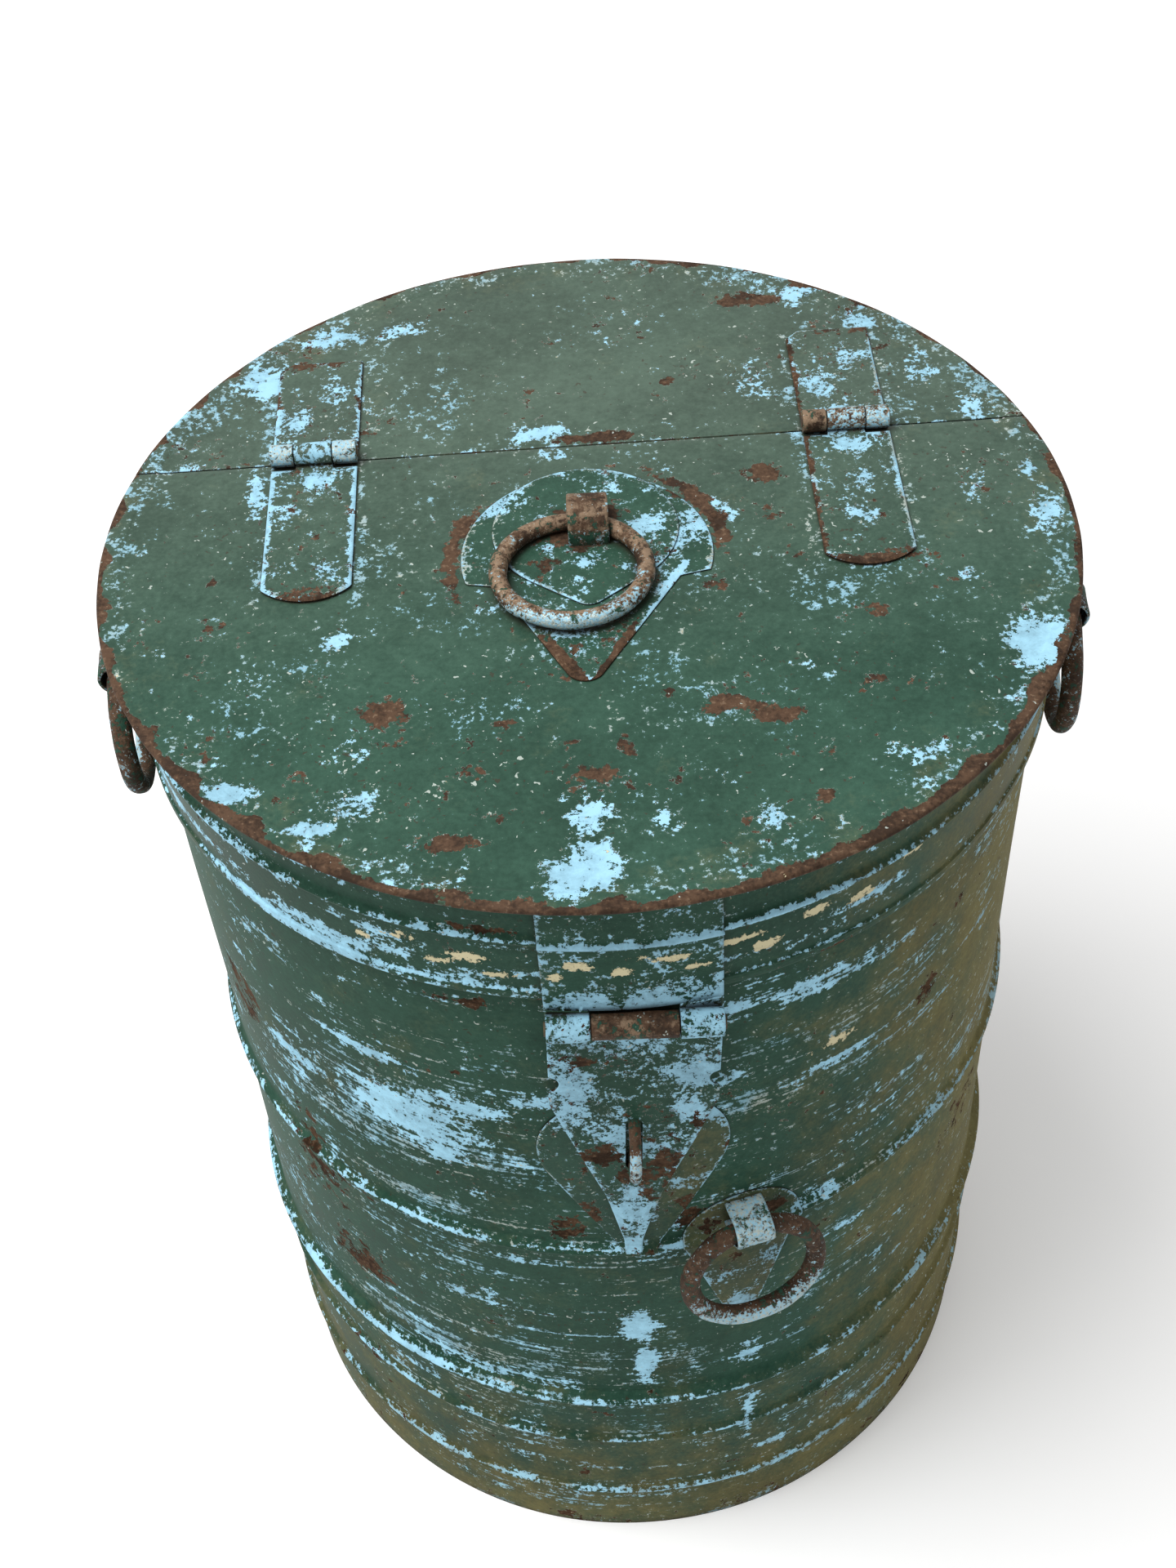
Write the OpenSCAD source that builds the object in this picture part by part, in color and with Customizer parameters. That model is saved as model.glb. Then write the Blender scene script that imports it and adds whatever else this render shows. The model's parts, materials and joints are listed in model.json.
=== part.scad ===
// Painted sheet-iron storage drum with a split round top, a hinged front lid,
// a hasp and staple, and four loose ring handles.
// Millimetres. Z is up, the front (the hasp side) faces -Y, the origin is the
// centre of the foot.

/* [Drum] */
// Outer diameter of the plain wall
body_d = 470; // [456:1:700]
// Height from the floor to the top of the rim
drum_h = 660; // [520:1:900]
// Thickness of the wall, top, base and collar sheet
sheet = 1.2; // [0.8:0.1:2]
// Height of the base disc above the floor
base_lift = 7; // [4:0.5:15]
// Height of the folded hem at the top of the wall
wall_hem = 8; // [4:0.5:14]

/* [Ribs] */
// Distance of the upper rib below the tip of the hasp strap
rib_below_strap = 11; // [10:0.5:20]
// Height of the highest of the lower ribs above the floor
rib_b_z = 179; // [160:1:188]
// Height of the next rib above the floor
rib_c_z = 124; // [90:1:140]
// Height of the lowest rib above the floor
rib_d_z = 52; // [30:1:70]
// How far the ribs stand out, from the top one down
rib_heights = [4, 6, 3, 3]; // [2:0.5:5]
// Height of each rib along the wall, from the top one down
rib_widths = [15, 17, 11, 12]; // [10:0.5:18]

/* [Top and rim] */
// How far the rim stands out past the wall
rim_overhang = 15; // [10:0.5:22]
// How far the band stands above the flat of the top
band_raise = 0.8; // [0.4:0.1:0.9]
// Distance of the split line behind the centre
seam_y = 72.8; // [50:0.1:83]
// Width of the slit between lid and fixed top
seam_gap = 1.5; // [1:0.1:4]
// Depth of the turned-down lip along the fixed top's front edge
top_lip = 12; // [6:0.5:25]

/* [Collar] */
// Height of the collar below the rim
collar_h = 78; // [60:1:110]
// Radial gap between wall and collar
collar_gap = 2.5; // [1.5:0.1:5]
// Depth of the collar bead below the rim
bead_depth = 35; // [20:1:50]
// How far the bead stands out
bead_h = 3; // [1:0.5:5]
// Height of the bead along the collar
bead_w = 9; // [6:0.5:14]
// Height of the folded hem at the collar's lower edge
collar_hem = 6; // [3:0.5:10]
// Half of the angle that the lid's part of the collar spans
collar_half_angle = 74; // [60:0.5:78]
// Angle left open between the two parts of the collar
collar_split = 0.4; // [0.2:0.1:1]

/* [Lid hinges] */
// Distance of each hinge from the middle
hinge_x = 142; // [100:1:152]
// Width of a hinge
hinge_w = 46; // [30:1:60]
// Length of the lid leaf from the hinge axis
lid_leaf_l = 112; // [60:1:140]
// Length of the fixed leaf from the hinge axis
top_leaf_l = 88; // [40:1:95]
// Thickness of the hinge leaves
leaf_t = 2.2; // [1.5:0.1:3]
// Outer diameter of the hinge barrel
barrel_d = 12; // [10:0.5:14]
// Diameter of the hinge pin
pin_d = 6; // [4:0.5:8]
// Width of the middle knuckle
knuckle_w = 20; // [12:0.5:26]

/* [Hasp] */
// Distance of the hasp's middle to the right of the centre
hasp_x = 8; // [-20:0.5:20]
// Width of the hasp
hasp_w = 83; // [70:1:100]
// Thickness of the hasp plate
hasp_plate_t = 2; // [1.2:0.1:3]
// Thickness of the hasp strap
strap_t = 2.5; // [1.5:0.1:4]
// Depth of the hasp's pivot below the collar
hasp_drop = 12; // [10:0.5:20]
// Outer diameter of the hasp's outer knuckles
hasp_barrel_d = 14; // [12:0.5:18]
// Outer diameter of the strap's own knuckle
strap_barrel_d = 12.6; // [11:0.1:14]
// Diameter of the hasp pin
hasp_pin_d = 7; // [5:0.5:9]
// Width of the strap's knuckle
strap_knuckle_w = 41; // [25:0.5:50]
// Lean of the hasp to the left, in degrees
hasp_lean = 2; // [0:0.5:4]
// Length of the strap below its pivot
strap_l = 207; // [190:1:250]
// Radius of the two round notches in the strap's sides
notch_r = 6; // [3:0.5:10]

/* [Staple] */
// Distance of the staple's middle below the hasp pivot
staple_drop = 105; // [95:1:120]
// Height of the staple, outside
staple_h = 40; // [30:1:50]
// How far the staple stands out from the wall
staple_out = 26; // [18:0.5:34]
// Diameter of the staple rod
staple_d = 6; // [4:0.5:8]
// Room around the staple in the strap's slot
slot_clear = 1.3; // [0.8:0.1:3]

/* [Rings] */
// Mean diameter of the lid's ring
lid_ring_d = 74; // [66:1:90]
// Rod diameter of the lid's ring
lid_rod_d = 9.2; // [6:0.2:11]
// Mean diameter of the three wall rings
wall_ring_d = 73; // [60:1:90]
// Rod diameter of the wall rings
wall_rod_d = 11; // [7:0.5:12]
// Angle of each side ring from the front
side_ring_angle = 86; // [82:0.5:98]
// Depth of the side rings' pivots below the rim
side_ring_depth = 56; // [44:0.5:60]
// Angle of the front ring to the right of the front
front_ring_angle = 15; // [14:0.5:20]
// Height of the front ring's pivot above the upper rib
front_ring_lift = 22; // [19:1:30]
// How far the front ring leans out, in degrees
front_ring_lean = 8; // [0:1:15]
// Distance of the lid clip from the centre line
lid_clip_x = 1.5; // [-10:0.5:10]
// How far the lid's ring has slid to the left in its clip
lid_ring_shift = 9.5; // [0:0.5:9.5]

/* [Ring clips] */
// Width of the folded clips
clip_w = 20.8; // [14:0.1:24]
// Thickness of the clips
clip_t = 2; // [1.2:0.1:2.6]
// Inner radius of the lid clip
lid_clip_r = 12; // [10.6:0.2:15]
// Inner radius of the wall clips
wall_clip_r = 7.8; // [7.2:0.1:10]
// Height of a wall ring's pivot above its plate
wall_pivot_lift = 11; // [10:0.5:14]
// Length of each clinched tail behind the sheet
tail_l = 9; // [5:0.5:14]

/* [Plates] */
// Thickness of the ring plates and of the plate behind the staple
plate_t = 1.2; // [0.8:0.1:2]
// Radius of the lid plate's round back
lid_plate_r = 64; // [50:1:75]
// Length of the lid plate in front of its round back's centre
lid_plate_tip = 92; // [80:1:110]
// Radius of the smaller plate on the lid
inner_plate_r = 48; // [40:1:54]
// Radius of the plate behind the staple
staple_plate_r = 50; // [40:1:56]
// Length of the plate behind the staple, below its round head's centre
staple_plate_l = 96; // [70:1:100]
// How far that centre lies below the staple
staple_plate_drop = 16; // [0:1:24]
// Radius of the front ring's plate
front_plate_r = 34; // [24:1:40]
// Length of the front ring's plate below its round head's centre
front_plate_l = 76; // [50:1:100]
// How far that centre lies below the ring's pivot
front_plate_drop = 20; // [0:1:24]
// Width of the side rings' plates
side_plate_w = 52; // [40:1:60]

/* [Clearances] */
// Radial clearance between a pin and a knuckle that turns on it
turn_clear = 0.06; // [0.02:0.01:0.1]
// Radial clearance between a pin and a knuckle that holds it
hold_clear = 0.02; // [0.01:0.01:0.05]
// Gap between neighbouring knuckles
knuckle_gap = 0.5; // [0.3:0.1:1]
// Room around a clip's leg in its slot
leg_clear = 0.15; // [0.05:0.05:0.5]
// Gap between the base disc's flange and the wall
base_fit = 0.05; // [0.02:0.01:0.2]
// Gap under a plate that lies on a round wall, and round a folded-in flange
seat_gap = 0.06; // [0.02:0.01:0.2]

/* [Hidden] */
$fn = 96;

green = "#3f5c4c";
rear_green = "#55695c";
rust = "#6e4a35";
pale_blue = "#a9c8dc";
worn = "#8d8a74";

body_r = body_d / 2;
body_in = body_r - sheet;
rim_r = body_r + rim_overhang;
far = 4 * rim_r;

// the band stands above the flat of the top by its raise
flat_z = drum_h - band_raise;
under_z = flat_z - sheet;

// the rim: band sheet, collar flange and folded-under lip, one below the other
flange_top = drum_h - sheet;
flange_low = flange_top - sheet;
lip_low = flange_low - sheet;
roll_r = (drum_h - lip_low) / 2;
fold_in = rim_r - sheet;
flange_r = fold_in - seat_gap;

collar_in = body_r + collar_gap;
collar_out = collar_in + sheet;
collar_low = drum_h - collar_h;
collar_plain_top = lip_low - 0.4;
band_in = collar_in + 0.5;
lip_in = collar_out + 2.3;
hem_z = collar_low + collar_hem;
bead_z = drum_h - bead_depth;

barrel_r = barrel_d / 2;
pin_r = pin_d / 2;
barrel_lift = 0.3;
hinge_z = flat_z + barrel_r + barrel_lift;

hasp_z = collar_low - hasp_drop;
rib_a_z = hasp_z - strap_l - rib_below_strap;
hasp_r = hasp_barrel_d / 2;
slab_in = body_r + 1.5;
hasp_y = -(slab_in + 2 + hasp_r);
strap_back = hasp_y + strap_barrel_d / 2;
hasp_angle = asin(hasp_x / collar_out);
hasp_half_angle = asin(hasp_w / 2 / collar_out);

z_hasp_step = collar_low - 0.4;
hasp_plate_top = lip_low - 1.5;

staple_z = hasp_z - staple_drop;
staple_r = staple_d / 2;
staple_x = hasp_x - staple_drop * sin(hasp_lean);
// from the staple's middle to the centre line of each leg
staple_leg = staple_h / 2 - staple_r;
slot_top = staple_drop - staple_h / 2 - slot_clear;
slot_low = staple_drop + staple_h / 2 + 2 * slot_clear;
lid_plate_y = -16;
lid_plate_top = flat_z + plate_t;
inner_plate_top = lid_plate_top + plate_t;
lid_pivot_z = inner_plate_top + lid_rod_d / 2 + 0.2;
lid_pivot_y = 2;

side_plate_out = collar_out + plate_t;
side_pivot_r = side_plate_out + wall_pivot_lift;
side_ring_z = drum_h - side_ring_depth;
front_pivot_r = body_r + plate_t + wall_pivot_lift;
front_ring_z = rib_a_z + front_ring_lift;

// ---- shapes shared by several pieces ----

// a smooth swell of height h and width w about c
function swell(z, c, h, w) = abs(z - c) < w / 2 ? h * (1 + cos(360 * (z - c) / w)) / 2 : 0;

// heights that follow one swell closely
function swell_steps(c, w) = [for (i = [-4:4]) c + i * w / 8];

rib_zs = [rib_a_z, rib_b_z, rib_c_z, rib_d_z];
rib_order = [for (i = [len(rib_zs) - 1:-1:0]) i];
function rib_out(z) =
    max([for (i = rib_order) swell(z, rib_zs[i], rib_heights[i], rib_widths[i])]);
wall_steps = [
    for (i = rib_order) for (z = swell_steps(rib_zs[i], rib_widths[i])) z
];

// outer radius of the collar at height z, with its bead and its hem
function hem_out(z) = sheet * min(1, max(0, hem_z + 1 - z));
function collar_face(z) = collar_out + swell(z, bead_z, bead_h, bead_w) + hem_out(z);
function collar_back(z) = collar_in + swell(z, bead_z, bead_h, bead_w);
collar_steps = concat([collar_low, hem_z, hem_z + 1], swell_steps(bead_z, bead_w));

function backwards(list) = [for (i = [len(list) - 1:-1:0]) list[i]];

// a round head of radius r that narrows to a round tip of radius t, l below it
function drop_outline(r, l, t) =
    let (a = asin((r - t) / l))
    concat(
        [for (i = [0:24]) let (b = -a + i * (180 + 2 * a) / 24) [r * cos(b), r * sin(b)]],
        [for (i = [0:8]) let (b = 180 + a + i * (180 - 2 * a) / 8) [t * cos(b), t * sin(b) - l]]
    );

// a ring of the given profile that spans half_angle to each side of angle
module sector(angle, half_angle) {
    rotate([0, 0, -90 + angle - half_angle])
    rotate_extrude(angle = 2 * half_angle, $fn = 180) children();
}

// turns what is drawn at the front, facing -Y, to an angle round the drum
module round_to(angle) {
    rotate([0, 0, angle]) children();
}

// what is drawn in X and Y stands up at the front: Y becomes height, Z comes forward
module stand_up(y, z) {
    translate([0, y, z]) rotate([90, 0, 0]) children();
}

// the part of the collar's face, t thick, between two heights
module collar_skin(t, z_low, z_high) {
    zs = concat([z_low], [for (z = collar_steps) if (z > z_low && z < z_high) z], [z_high]);
    polygon(concat(
        [for (z = zs) [collar_face(z) + seat_gap + t, z]],
        backwards([for (z = zs) [collar_face(z) + seat_gap, z]])
    ));
}

// a plate on the wall, which follows its ribs, between two heights
module wall_skin(t, z_low, z_high) {
    zs = concat([z_low], [for (z = wall_steps) if (z > z_low && z < z_high) z], [z_high]);
    polygon(concat(
        [for (z = zs) [body_r + rib_out(z) + seat_gap + t, z]],
        backwards([for (z = zs) [body_r + rib_out(z) + seat_gap, z]])
    ));
}

// ---- drum ----

module body_shell() {
    zs = concat([0], wall_steps, [under_z - wall_hem]);
    color(green)
    difference() {
        rotate_extrude($fn = 180)
        polygon(concat(
            [for (z = zs) [body_r + rib_out(z), z]],
            [
                [body_r, under_z], [body_in - sheet, under_z],
                [body_in - sheet, under_z - wall_hem]
            ],
            backwards([for (z = zs) [body_in + rib_out(z), z]])
        ));
        for (side = [-1, 1]) round_to(side * side_ring_angle) wall_leg_slots(side_ring_z);
        round_to(front_ring_angle) wall_leg_slots(front_ring_z);
        staple_holes();
    }
}

module base_disc() {
    r = body_in - base_fit;
    color(rust)
    rotate_extrude($fn = 180)
    polygon([
        [0, base_lift], [r - sheet, base_lift], [r - sheet, 0], [r, 0],
        [r, base_lift + sheet], [0, base_lift + sheet]
    ]);
}

// the top sheet with its raised band, its rolled edge and its folded-under lip
module top_profile() {
    polygon(concat(
        [[0, under_z], [0, flat_z], [band_in, flat_z], [band_in + 1.5, drum_h]],
        [
            for (i = [0:6]) let (b = 90 - 30 * i)
            [rim_r - roll_r + roll_r * cos(b), drum_h - roll_r + roll_r * sin(b)]
        ],
        [
            [lip_in, lip_low], [lip_in, flange_low], [fold_in, flange_low],
            [fold_in, flange_top], [collar_in, flange_top], [collar_in - 1, under_z]
        ]
    ));
}

module lid_half_space() {
    translate([-far, -2 * far + seam_y - seam_gap / 2, -far]) cube(2 * far);
}

module top_half_space() {
    translate([-far, seam_y + seam_gap / 2, -far]) cube(2 * far);
}

module fixed_top() {
    lip_half = sqrt(pow(body_in - sheet - 1, 2) - pow(seam_y + seam_gap / 2 + sheet, 2));
    color(rear_green) {
        intersection() {
            rotate_extrude($fn = 180) top_profile();
            top_half_space();
        }
        translate([-lip_half, seam_y + seam_gap / 2, under_z - top_lip])
        cube([2 * lip_half, sheet, top_lip]);
    }
}

module lid_sheet() {
    color(green)
    difference() {
        intersection() {
            rotate_extrude($fn = 180) top_profile();
            lid_half_space();
        }
        lid_leg_slots();
    }
}

// ---- collar ----

// the collar's section, with the flange that the rim is folded round
module flanged_profile() {
    polygon(concat(
        [for (z = collar_steps) [collar_face(z), z]],
        [
            [collar_out, flange_low], [flange_r, flange_low], [flange_r, flange_top],
            [collar_in, flange_top]
        ],
        backwards([for (z = collar_steps) [collar_back(z), z]])
    ));
}

module lid_collar() {
    color(green) sector(0, collar_half_angle) flanged_profile();
}

module rear_collar() {
    color(rear_green)
    difference() {
        sector(180, 180 - collar_half_angle - collar_split) flanged_profile();
        // in front of the split line the collar stops short of the lid's rim
        translate([-far, seam_y + seam_gap - 2 * far, collar_plain_top]) cube(2 * far);
        for (side = [-1, 1]) round_to(side * side_ring_angle) wall_leg_slots(side_ring_z);
    }
}

// ---- lid hinges ----

module barrel(x_low, x_high, r) {
    translate([x_low, 0, 0]) rotate([0, 90, 0]) cylinder(r = r, h = x_high - x_low, $fn = 48);
}

// the leaf on the lid, with the middle knuckle and a round end
module lid_leaf(x) {
    w = hinge_w / 2;
    k = knuckle_w / 2;
    clear = barrel_r + knuckle_gap;
    end_r = w * 1.35;
    end_y = -lid_leaf_l + end_r - sqrt(end_r * end_r - w * w);
    color(green)
    translate([x, seam_y, 0])
    difference() {
        union() {
            translate([0, 0, flat_z]) linear_extrude(leaf_t)
            polygon(concat(
                [[-w, end_y], [-w, -clear], [-k, -clear], [-k, 0]],
                [[k, 0], [k, -clear], [w, -clear], [w, end_y]],
                [
                    for (i = [1:9]) let (b = asin(w / end_r) * (1 - i / 5))
                    [end_r * sin(b), -lid_leaf_l + end_r - end_r * cos(b)]
                ]
            ));
            translate([0, 0, hinge_z]) barrel(-k, k, barrel_r);
        }
        translate([0, 0, hinge_z]) barrel(-w, w, pin_r + turn_clear);
    }
}

// the leaf on the fixed top, with the two outer knuckles and one clipped corner
module top_leaf(x) {
    w = hinge_w / 2;
    k = knuckle_w / 2 + knuckle_gap;
    clear = barrel_r + knuckle_gap;
    corner = 7;
    color(rear_green)
    translate([x, seam_y, 0])
    difference() {
        union() {
            translate([0, 0, flat_z]) linear_extrude(leaf_t)
            polygon([
                [-w, 0], [-k, 0], [-k, clear], [k, clear], [k, 0], [w, 0],
                [w, top_leaf_l], [-w + corner, top_leaf_l], [-w, top_leaf_l - corner]
            ]);
            translate([0, 0, hinge_z]) {
                barrel(-w, -k, barrel_r);
                barrel(k, w, barrel_r);
            }
        }
        translate([0, 0, hinge_z]) barrel(-w - 1, w + 1, pin_r + hold_clear);
    }
}

module hinge_pin(x) {
    w = hinge_w / 2;
    color(rust) translate([x, seam_y, hinge_z]) barrel(-w - 0.5, w + 0.5, pin_r);
}

module hinge_left_lid_leaf() { lid_leaf(-hinge_x); }
module hinge_left_top_leaf() { top_leaf(-hinge_x); }
module hinge_left_pin() { hinge_pin(-hinge_x); }
module hinge_right_lid_leaf() { lid_leaf(hinge_x); }
module hinge_right_top_leaf() { top_leaf(hinge_x); }
module hinge_right_pin() { hinge_pin(hinge_x); }

// ---- ring clips ----

// side view of a clip: a round fold of inner radius r about the pivot, legs that
// run down through the sheets, and tails clinched flat behind them
module clip_outline(r, drop, through) {
    outer = r + clip_t;
    low = -drop - through - clip_t;
    difference() {
        union() {
            intersection() {
                circle(outer);
                translate([-outer, 0]) square(2 * outer);
            }
            translate([-outer, low]) square([2 * outer, -low]);
            translate([-outer - tail_l, low]) square([2 * (outer + tail_l), clip_t]);
        }
        circle(r);
        translate([-r, low - 1]) square([2 * r, 1 - low]);
    }
}

// the slots that the legs of such a clip need, from z_low up to z_high
module leg_slots(r, z_low, z_high) {
    w = clip_w + 2 * leg_clear;
    t = clip_t + 2 * leg_clear;
    for (side = [-1, 1])
        translate([-w / 2, side * (r + clip_t / 2) - t / 2, z_low]) cube([w, t, z_high - z_low]);
}

module lid_leg_slots() {
    translate([lid_clip_x, lid_pivot_y, 0]) leg_slots(lid_clip_r, under_z - 1, inner_plate_top + 1);
}

// on the wall the legs run inwards, one above and one below the pivot
module wall_leg_slots(z) {
    stand_up(0, z) leg_slots(wall_clip_r, body_r - 20, collar_out + 20);
}

module wall_clip(pivot_r, z) {
    seat = body_in - 0.35;
    color(worn)
    stand_up(-pivot_r, z)
    rotate([90, 0, 90])
    linear_extrude(clip_w, center = true)
    clip_outline(wall_clip_r, 0, pivot_r - seat);
}

// a closed ring that hangs from its pivot and leans out by the given angle
module wall_ring(pivot_r, z, lean) {
    color(worn)
    translate([0, -pivot_r, z])
    rotate([-lean, 0, 0])
    translate([0, 0, -wall_ring_d / 2])
    rotate([90, 0, 0])
    rotate_extrude($fn = 96) translate([wall_ring_d / 2, 0]) circle(r = wall_rod_d / 2, $fn = 32);
}

// ---- rings on the two sides ----

module side_plate(side) {
    half = asin(side_plate_w / 2 / side_plate_out);
    color(worn)
    difference() {
        round_to(side * side_ring_angle)
        sector(0, half) collar_skin(plate_t, hem_z + 2, lip_low - 3);
        round_to(side * side_ring_angle) wall_leg_slots(side_ring_z);
    }
}

module ring_left_plate() { side_plate(-1); }
module ring_right_plate() { side_plate(1); }
module ring_left_clip() { round_to(-side_ring_angle) wall_clip(side_pivot_r, side_ring_z); }
module ring_right_clip() { round_to(side_ring_angle) wall_clip(side_pivot_r, side_ring_z); }
module ring_left() { round_to(-side_ring_angle) wall_ring(side_pivot_r, side_ring_z, 0); }
module ring_right() { round_to(side_ring_angle) wall_ring(side_pivot_r, side_ring_z, 0); }

// ---- ring low on the front ----

// a flat outline bent onto the wall as a plate of thickness plate_t
module wall_plate(z) {
    intersection() {
        sector(0, 30) wall_skin(plate_t, 10, collar_low);
        stand_up(-body_r / 2, z) linear_extrude(body_r) children();
    }
}

module ring_front_plate() {
    color(green)
    difference() {
        round_to(front_ring_angle)
        wall_plate(front_ring_z) translate([0, -front_plate_drop])
        polygon(drop_outline(front_plate_r, front_plate_l, 12));
        round_to(front_ring_angle) wall_leg_slots(front_ring_z);
    }
}

module ring_front_clip() { round_to(front_ring_angle) wall_clip(front_pivot_r, front_ring_z); }
module ring_front() {
    round_to(front_ring_angle) wall_ring(front_pivot_r, front_ring_z, front_ring_lean);
}

// ---- ring on the lid ----

module lid_ring_plate() {
    shoulder = lid_plate_r * 0.72;
    color(green)
    difference() {
        translate([0, lid_plate_y, flat_z]) linear_extrude(plate_t) {
            intersection() {
                circle(lid_plate_r);
                translate([-far, -20]) square(2 * far);
            }
            polygon(concat(
                [[shoulder, -19], [-shoulder, -19]],
                [
                    for (i = [0:8]) let (b = 210 + 15 * i)
                    [10 * cos(b) - 4, 10 * sin(b) - lid_plate_tip + 10]
                ]
            ));
        }
        lid_leg_slots();
    }
}

module lid_ring_inner_plate() {
    color(green)
    difference() {
        translate([0, lid_pivot_y, lid_plate_top]) linear_extrude(plate_t)
        polygon(drop_outline(inner_plate_r, inner_plate_r * 1.02, 9));
        lid_leg_slots();
    }
}

module lid_ring_clip() {
    color(worn)
    translate([lid_clip_x, lid_pivot_y, lid_pivot_z])
    rotate([90, 0, 90])
    linear_extrude(clip_w, center = true)
    clip_outline(lid_clip_r, 0, lid_pivot_z - under_z + 0.1);
}

module lid_ring() {
    color(worn)
    translate([lid_clip_x - lid_ring_shift, lid_pivot_y - lid_ring_d / 2, lid_pivot_z])
    rotate_extrude($fn = 96) translate([lid_ring_d / 2, 0]) circle(r = lid_rod_d / 2, $fn = 32);
}

// ---- hasp ----

// moves what is drawn about the hasp's pivot to its place
module at_hasp() {
    translate([hasp_x, hasp_y, hasp_z]) rotate([0, hasp_lean, 0]) children();
}

// the plate's section: over the collar's face, then closer to the wall below it
module hasp_plate_profile() {
    zs = concat([z_hasp_step], [for (z = collar_steps) if (z > z_hasp_step) z], [hasp_plate_top]);
    face = collar_out + sheet + seat_gap + hasp_plate_t;
    polygon(concat(
        [for (z = zs) [max(face, collar_face(z) + seat_gap + hasp_plate_t), z]],
        backwards([for (z = zs) [collar_face(z) + seat_gap, z]]),
        [[slab_in, z_hasp_step], [slab_in, hasp_z], [face, hasp_z]]
    ));
}

// the plate on the lid's collar, with the two outer knuckles below the collar
module hasp_plate() {
    w = hasp_w / 2;
    k = strap_knuckle_w / 2 + knuckle_gap;
    color(green)
    difference() {
        union() {
            sector(hasp_angle, hasp_half_angle) hasp_plate_profile();
            at_hasp() {
                barrel(-w, -k, hasp_r);
                barrel(k, w, hasp_r);
            }
        }
        at_hasp() {
            barrel(-w - 2, w + 2, hasp_pin_d / 2 + hold_clear);
            barrel(-k, k, hasp_r + 0.4);
        }
    }
}

module hasp_pin() {
    w = hasp_w / 2;
    color(rust) at_hasp() barrel(-w - 1, w + 1, hasp_pin_d / 2);
}

// the strap, seen from the front with its pivot at 0: wide shoulders, a round
// notch on each side, and a taper to a narrow tip
module strap_outline() {
    w = hasp_w / 2;
    top = hasp_r + 1;
    notch_z = -51;
    lobe_z = -68;
    taper = strap_l - 10;
    difference() {
        polygon([
            [-w, -top], [-w, lobe_z], [-w + 3, lobe_z - 10], [-w + 13, lobe_z - 42],
            [-w + 27, lobe_z - 84], [-5, -taper], [-4.5, -strap_l],
            [4.5, -strap_l], [5, -taper],
            [w - 27, lobe_z - 84], [w - 13, lobe_z - 42], [w - 3, lobe_z - 10],
            [w, lobe_z], [w, -top]
        ]);
        for (side = [-1, 1]) translate([side * (w + 1), notch_z]) circle(notch_r);
        translate([-staple_r - slot_clear, -slot_low])
        square([staple_d + 2 * slot_clear, slot_low - slot_top]);
    }
}

module hasp_strap() {
    k = strap_knuckle_w / 2;
    lift = strap_barrel_d / 2 - strap_t;
    color(green)
    at_hasp()
    difference() {
        union() {
            translate([0, strap_barrel_d / 2, 0]) rotate([90, 0, 0])
            linear_extrude(strap_t) strap_outline();
            translate([-k, lift, -hasp_r - 2]) cube([2 * k, strap_t, hasp_r + 2]);
            barrel(-k, k, strap_barrel_d / 2);
            // the tip is turned out a little
            translate([-4.5, lift - 4, -strap_l]) cube([9, 4 + strap_t, strap_t]);
        }
        barrel(-k - 1, k + 1, hasp_pin_d / 2 + turn_clear);
    }
}

module hasp_backing_plate() {
    color(green)
    difference() {
        wall_plate(staple_z) translate([staple_x, -staple_plate_drop])
        polygon(drop_outline(staple_plate_r, staple_plate_l, 8));
        staple_holes();
    }
}

// ---- staple ----

module at_staple() {
    translate([staple_x, -body_in, staple_z])
    rotate([0, hasp_lean, 0]) children();
}

module staple_holes() {
    at_staple() for (side = [-1, 1])
        translate([0, 0, side * staple_leg]) rotate([90, 0, 0])
        translate([0, 0, -15]) cylinder(r = staple_r + leg_clear, h = 30, $fn = 32);
}

// a round rod bent to a loop: two straight legs and a half-round end, with
// riveted-over heads behind the wall
module hasp_staple() {
    straight = staple_out + sheet - staple_r - staple_leg;
    color(worn)
    at_staple() {
        for (side = [-1, 1])
            translate([0, 3, side * staple_leg]) rotate([90, 0, 0]) {
                cylinder(r = staple_r, h = straight + 3, $fn = 32);
                translate([0, 0, 0.2]) cylinder(r = staple_r + 2.5, h = 2, $fn = 32);
            }
        translate([0, -straight, 0]) rotate([0, 90, 0]) rotate([0, 0, 180])
        rotate_extrude(angle = 180, $fn = 64) translate([staple_leg, 0]) circle(r = staple_r, $fn = 32);
    }
}

body_shell();
base_disc();
fixed_top();
rear_collar();
lid_sheet();
lid_collar();
hinge_left_lid_leaf();
hinge_left_top_leaf();
hinge_left_pin();
hinge_right_lid_leaf();
hinge_right_top_leaf();
hinge_right_pin();
lid_ring_plate();
lid_ring_inner_plate();
lid_ring_clip();
lid_ring();
hasp_plate();
hasp_pin();
hasp_strap();
hasp_backing_plate();
hasp_staple();
ring_left_plate();
ring_left_clip();
ring_left();
ring_right_plate();
ring_right_clip();
ring_right();
ring_front_plate();
ring_front_clip();
ring_front();
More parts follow.
